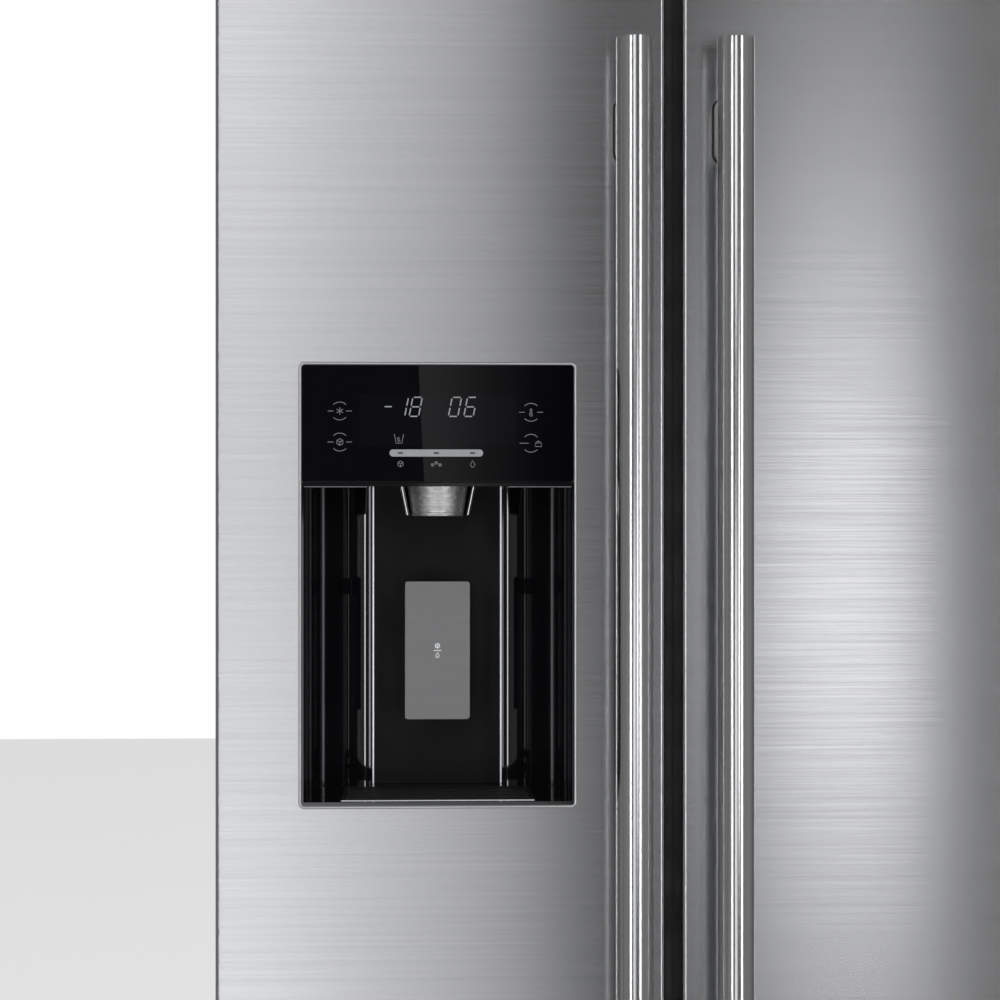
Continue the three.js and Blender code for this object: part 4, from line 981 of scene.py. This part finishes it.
def emission(name, ramp_axis, limits, stops, strength):
    """Light card whose brightness runs along one axis."""
    material = bpy.data.materials.new(name)
    material.use_nodes = True
    nodes, links = material.node_tree.nodes, material.node_tree.links
    nodes.clear()
    place = nodes.new("ShaderNodeTexCoord")
    split = nodes.new("ShaderNodeSeparateXYZ")
    span = nodes.new("ShaderNodeMapRange")
    span.inputs["From Min"].default_value, span.inputs["From Max"].default_value = limits
    ramp = nodes.new("ShaderNodeValToRGB")
    glow = nodes.new("ShaderNodeEmission")
    glow.inputs["Strength"].default_value = strength
    out = nodes.new("ShaderNodeOutputMaterial")
    elements = ramp.color_ramp.elements
    while len(elements) < len(stops):
        elements.new(0.5)
    for element, (position, value) in zip(elements, stops):
        element.position = (position - limits[0]) / (limits[1] - limits[0])
        element.color = (value, value, value * 1.015, 1)
    links.new(place.outputs["Object"], split.inputs["Vector"])
    links.new(split.outputs[ramp_axis], span.inputs["Value"])
    links.new(span.outputs["Result"], ramp.inputs["Fac"])
    links.new(ramp.outputs["Color"], glow.inputs["Color"])
    links.new(glow.outputs["Emission"], out.inputs["Surface"])
    return material


def card(name, x, y, z, material, lean=0.0):
    """Upright light card that faces the appliance and isn't seen by the camera."""
    points = [(x[0] + lean, y, z[0]), (x[1], y, z[0]), (x[1], y, z[1]), (x[0], y, z[1])]
    mesh = bpy.data.meshes.new(name)
    mesh.from_pydata(points, [], [(3, 2, 1, 0)])
    obj = bpy.data.objects.new(name, mesh)
    bpy.context.scene.collection.objects.link(obj)
    obj.data.materials.append(material)
    obj.visible_camera = False


def area_light(name, place, target, size, power, glossy=True):
    """Soft box aimed at a point."""
    data = bpy.data.lights.new(name, "AREA")
    data.shape = "RECTANGLE"
    data.size, data.size_y = size
    data.energy = power
    light = bpy.data.objects.new(name, data)
    bpy.context.scene.collection.objects.link(light)
    light.location = place
    light.rotation_euler = (Vector(target) - Vector(place)).to_track_quat("-Z", "Y").to_euler()
    light.visible_camera = False
    light.visible_glossy = glossy


def make_stage():
    """Pale floor, white surroundings, dimmer ones for reflections, and soft lights and cards."""
    floor = block("floor", (-9, -9, -0.05), (9, 9, -0.0005), 0)
    paint = Finish("floor_paint", (0.80, 0.80, 0.80), 0.6)
    paint.shades(paint.noise(150, detail=5.0), (0.79, 0.79, 0.79), (0.81, 0.81, 0.81))
    floor.data.materials.append(paint.material)
    floor.visible_glossy = False
    world = bpy.data.worlds.new("studio")
    bpy.context.scene.world = world
    world.use_nodes = True
    nodes, links = world.node_tree.nodes, world.node_tree.links
    seen = nodes.new("ShaderNodeBackground")
    seen.inputs["Color"].default_value = (1, 1, 1, 1)
    room = nodes["Background"]
    direction = nodes.new("ShaderNodeSeparateXYZ")
    sides = nodes.new("ShaderNodeMapRange")
    sides.inputs["From Min"].default_value, sides.inputs["From Max"].default_value = -0.95, -0.75
    sides.inputs["To Min"].default_value, sides.inputs["To Max"].default_value = 0.05, 0.2
    links.new(nodes.new("ShaderNodeTexCoord").outputs["Generated"], direction.inputs["Vector"])
    links.new(direction.outputs["Y"], sides.inputs["Value"])
    links.new(sides.outputs["Result"], room.inputs["Color"])
    rays = nodes.new("ShaderNodeLightPath")
    mix = nodes.new("ShaderNodeMixShader")
    links.new(rays.outputs["Is Glossy Ray"], mix.inputs["Fac"])
    links.new(seen.outputs["Background"], mix.inputs[1])
    links.new(room.outputs["Background"], mix.inputs[2])
    links.new(mix.outputs["Shader"], nodes["World Output"].inputs["Surface"])
    for name, shift, z in (("upper", -0.03, (1.85, 5.5)), ("lower", 0.05, (-3.5, 1.15))):
        falling = [(-1.3, 1.3), (-0.96, 1.08), (-0.74, 0.9), (-0.42, 0.68), (-0.08 + shift, 0.5),
                   (0.06 + shift, 0.42), (0.16 + shift, 0.25), (0.24 + shift, 0.08), (0.31 + shift, 0.0)]
        limits = (-1.3, 0.31 + shift)
        card(f"{name}_left_card", limits, -6.0, z, emission(f"{name}_glow", "X", limits, falling, 1.42))
    rising = [(0.5, 0.0), (0.62, 0.12), (0.75, 0.3), (0.86, 0.5), (1.0, 1.0), (1.5, 1.1)]
    card("right_card", (0.5, 1.5), -6.0, (0.1, 1.7), emission("right_glow", "X", (0.5, 1.5), rising, 2.9))
    bright = [(-0.295, 0.42), (-0.2, 0.34), (-0.05, 0.16), (0.12, 0.04), (0.3, 0.0)]
    panel_glow = emission("panel_glow", "X", (-0.295, 0.3), bright, 1.0)
    card("panel_card", (-0.295, 0.3), -5.99, (1.2, 1.8), panel_glow, lean=0.03)
    area_light("left_strip", (-1.56, -2.95, 1.4), (-0.05, -0.35, 1.4), (0.2, 3.4), 15)
    area_light("right_strip", (1.42, -2.97, 1.4), (-0.05, -0.35, 1.4), (0.24, 3.4), 18)
    area_light("overhead", (0.2, -2.2, 4.2), (0, -0.2, 0.9), (2.6, 1.6), 30, glossy=False)
    bpy.context.scene.view_settings.view_transform = "Standard"


make_camera()
dress_kept_nodes()
door_front("freezer_door_skin", "freezer_door", opening=True)
door_front("fridge_door_skin", "fridge_door")
handle("freezer", "freezer_door")
handle("fridge", "fridge_door")
niche()
niche_trim()
chute()
bezel()
paddle()
drip_grille()
control_panel()
containers()
shelves()
gaskets()
hinge_covers()
floor_parts()
make_stage()
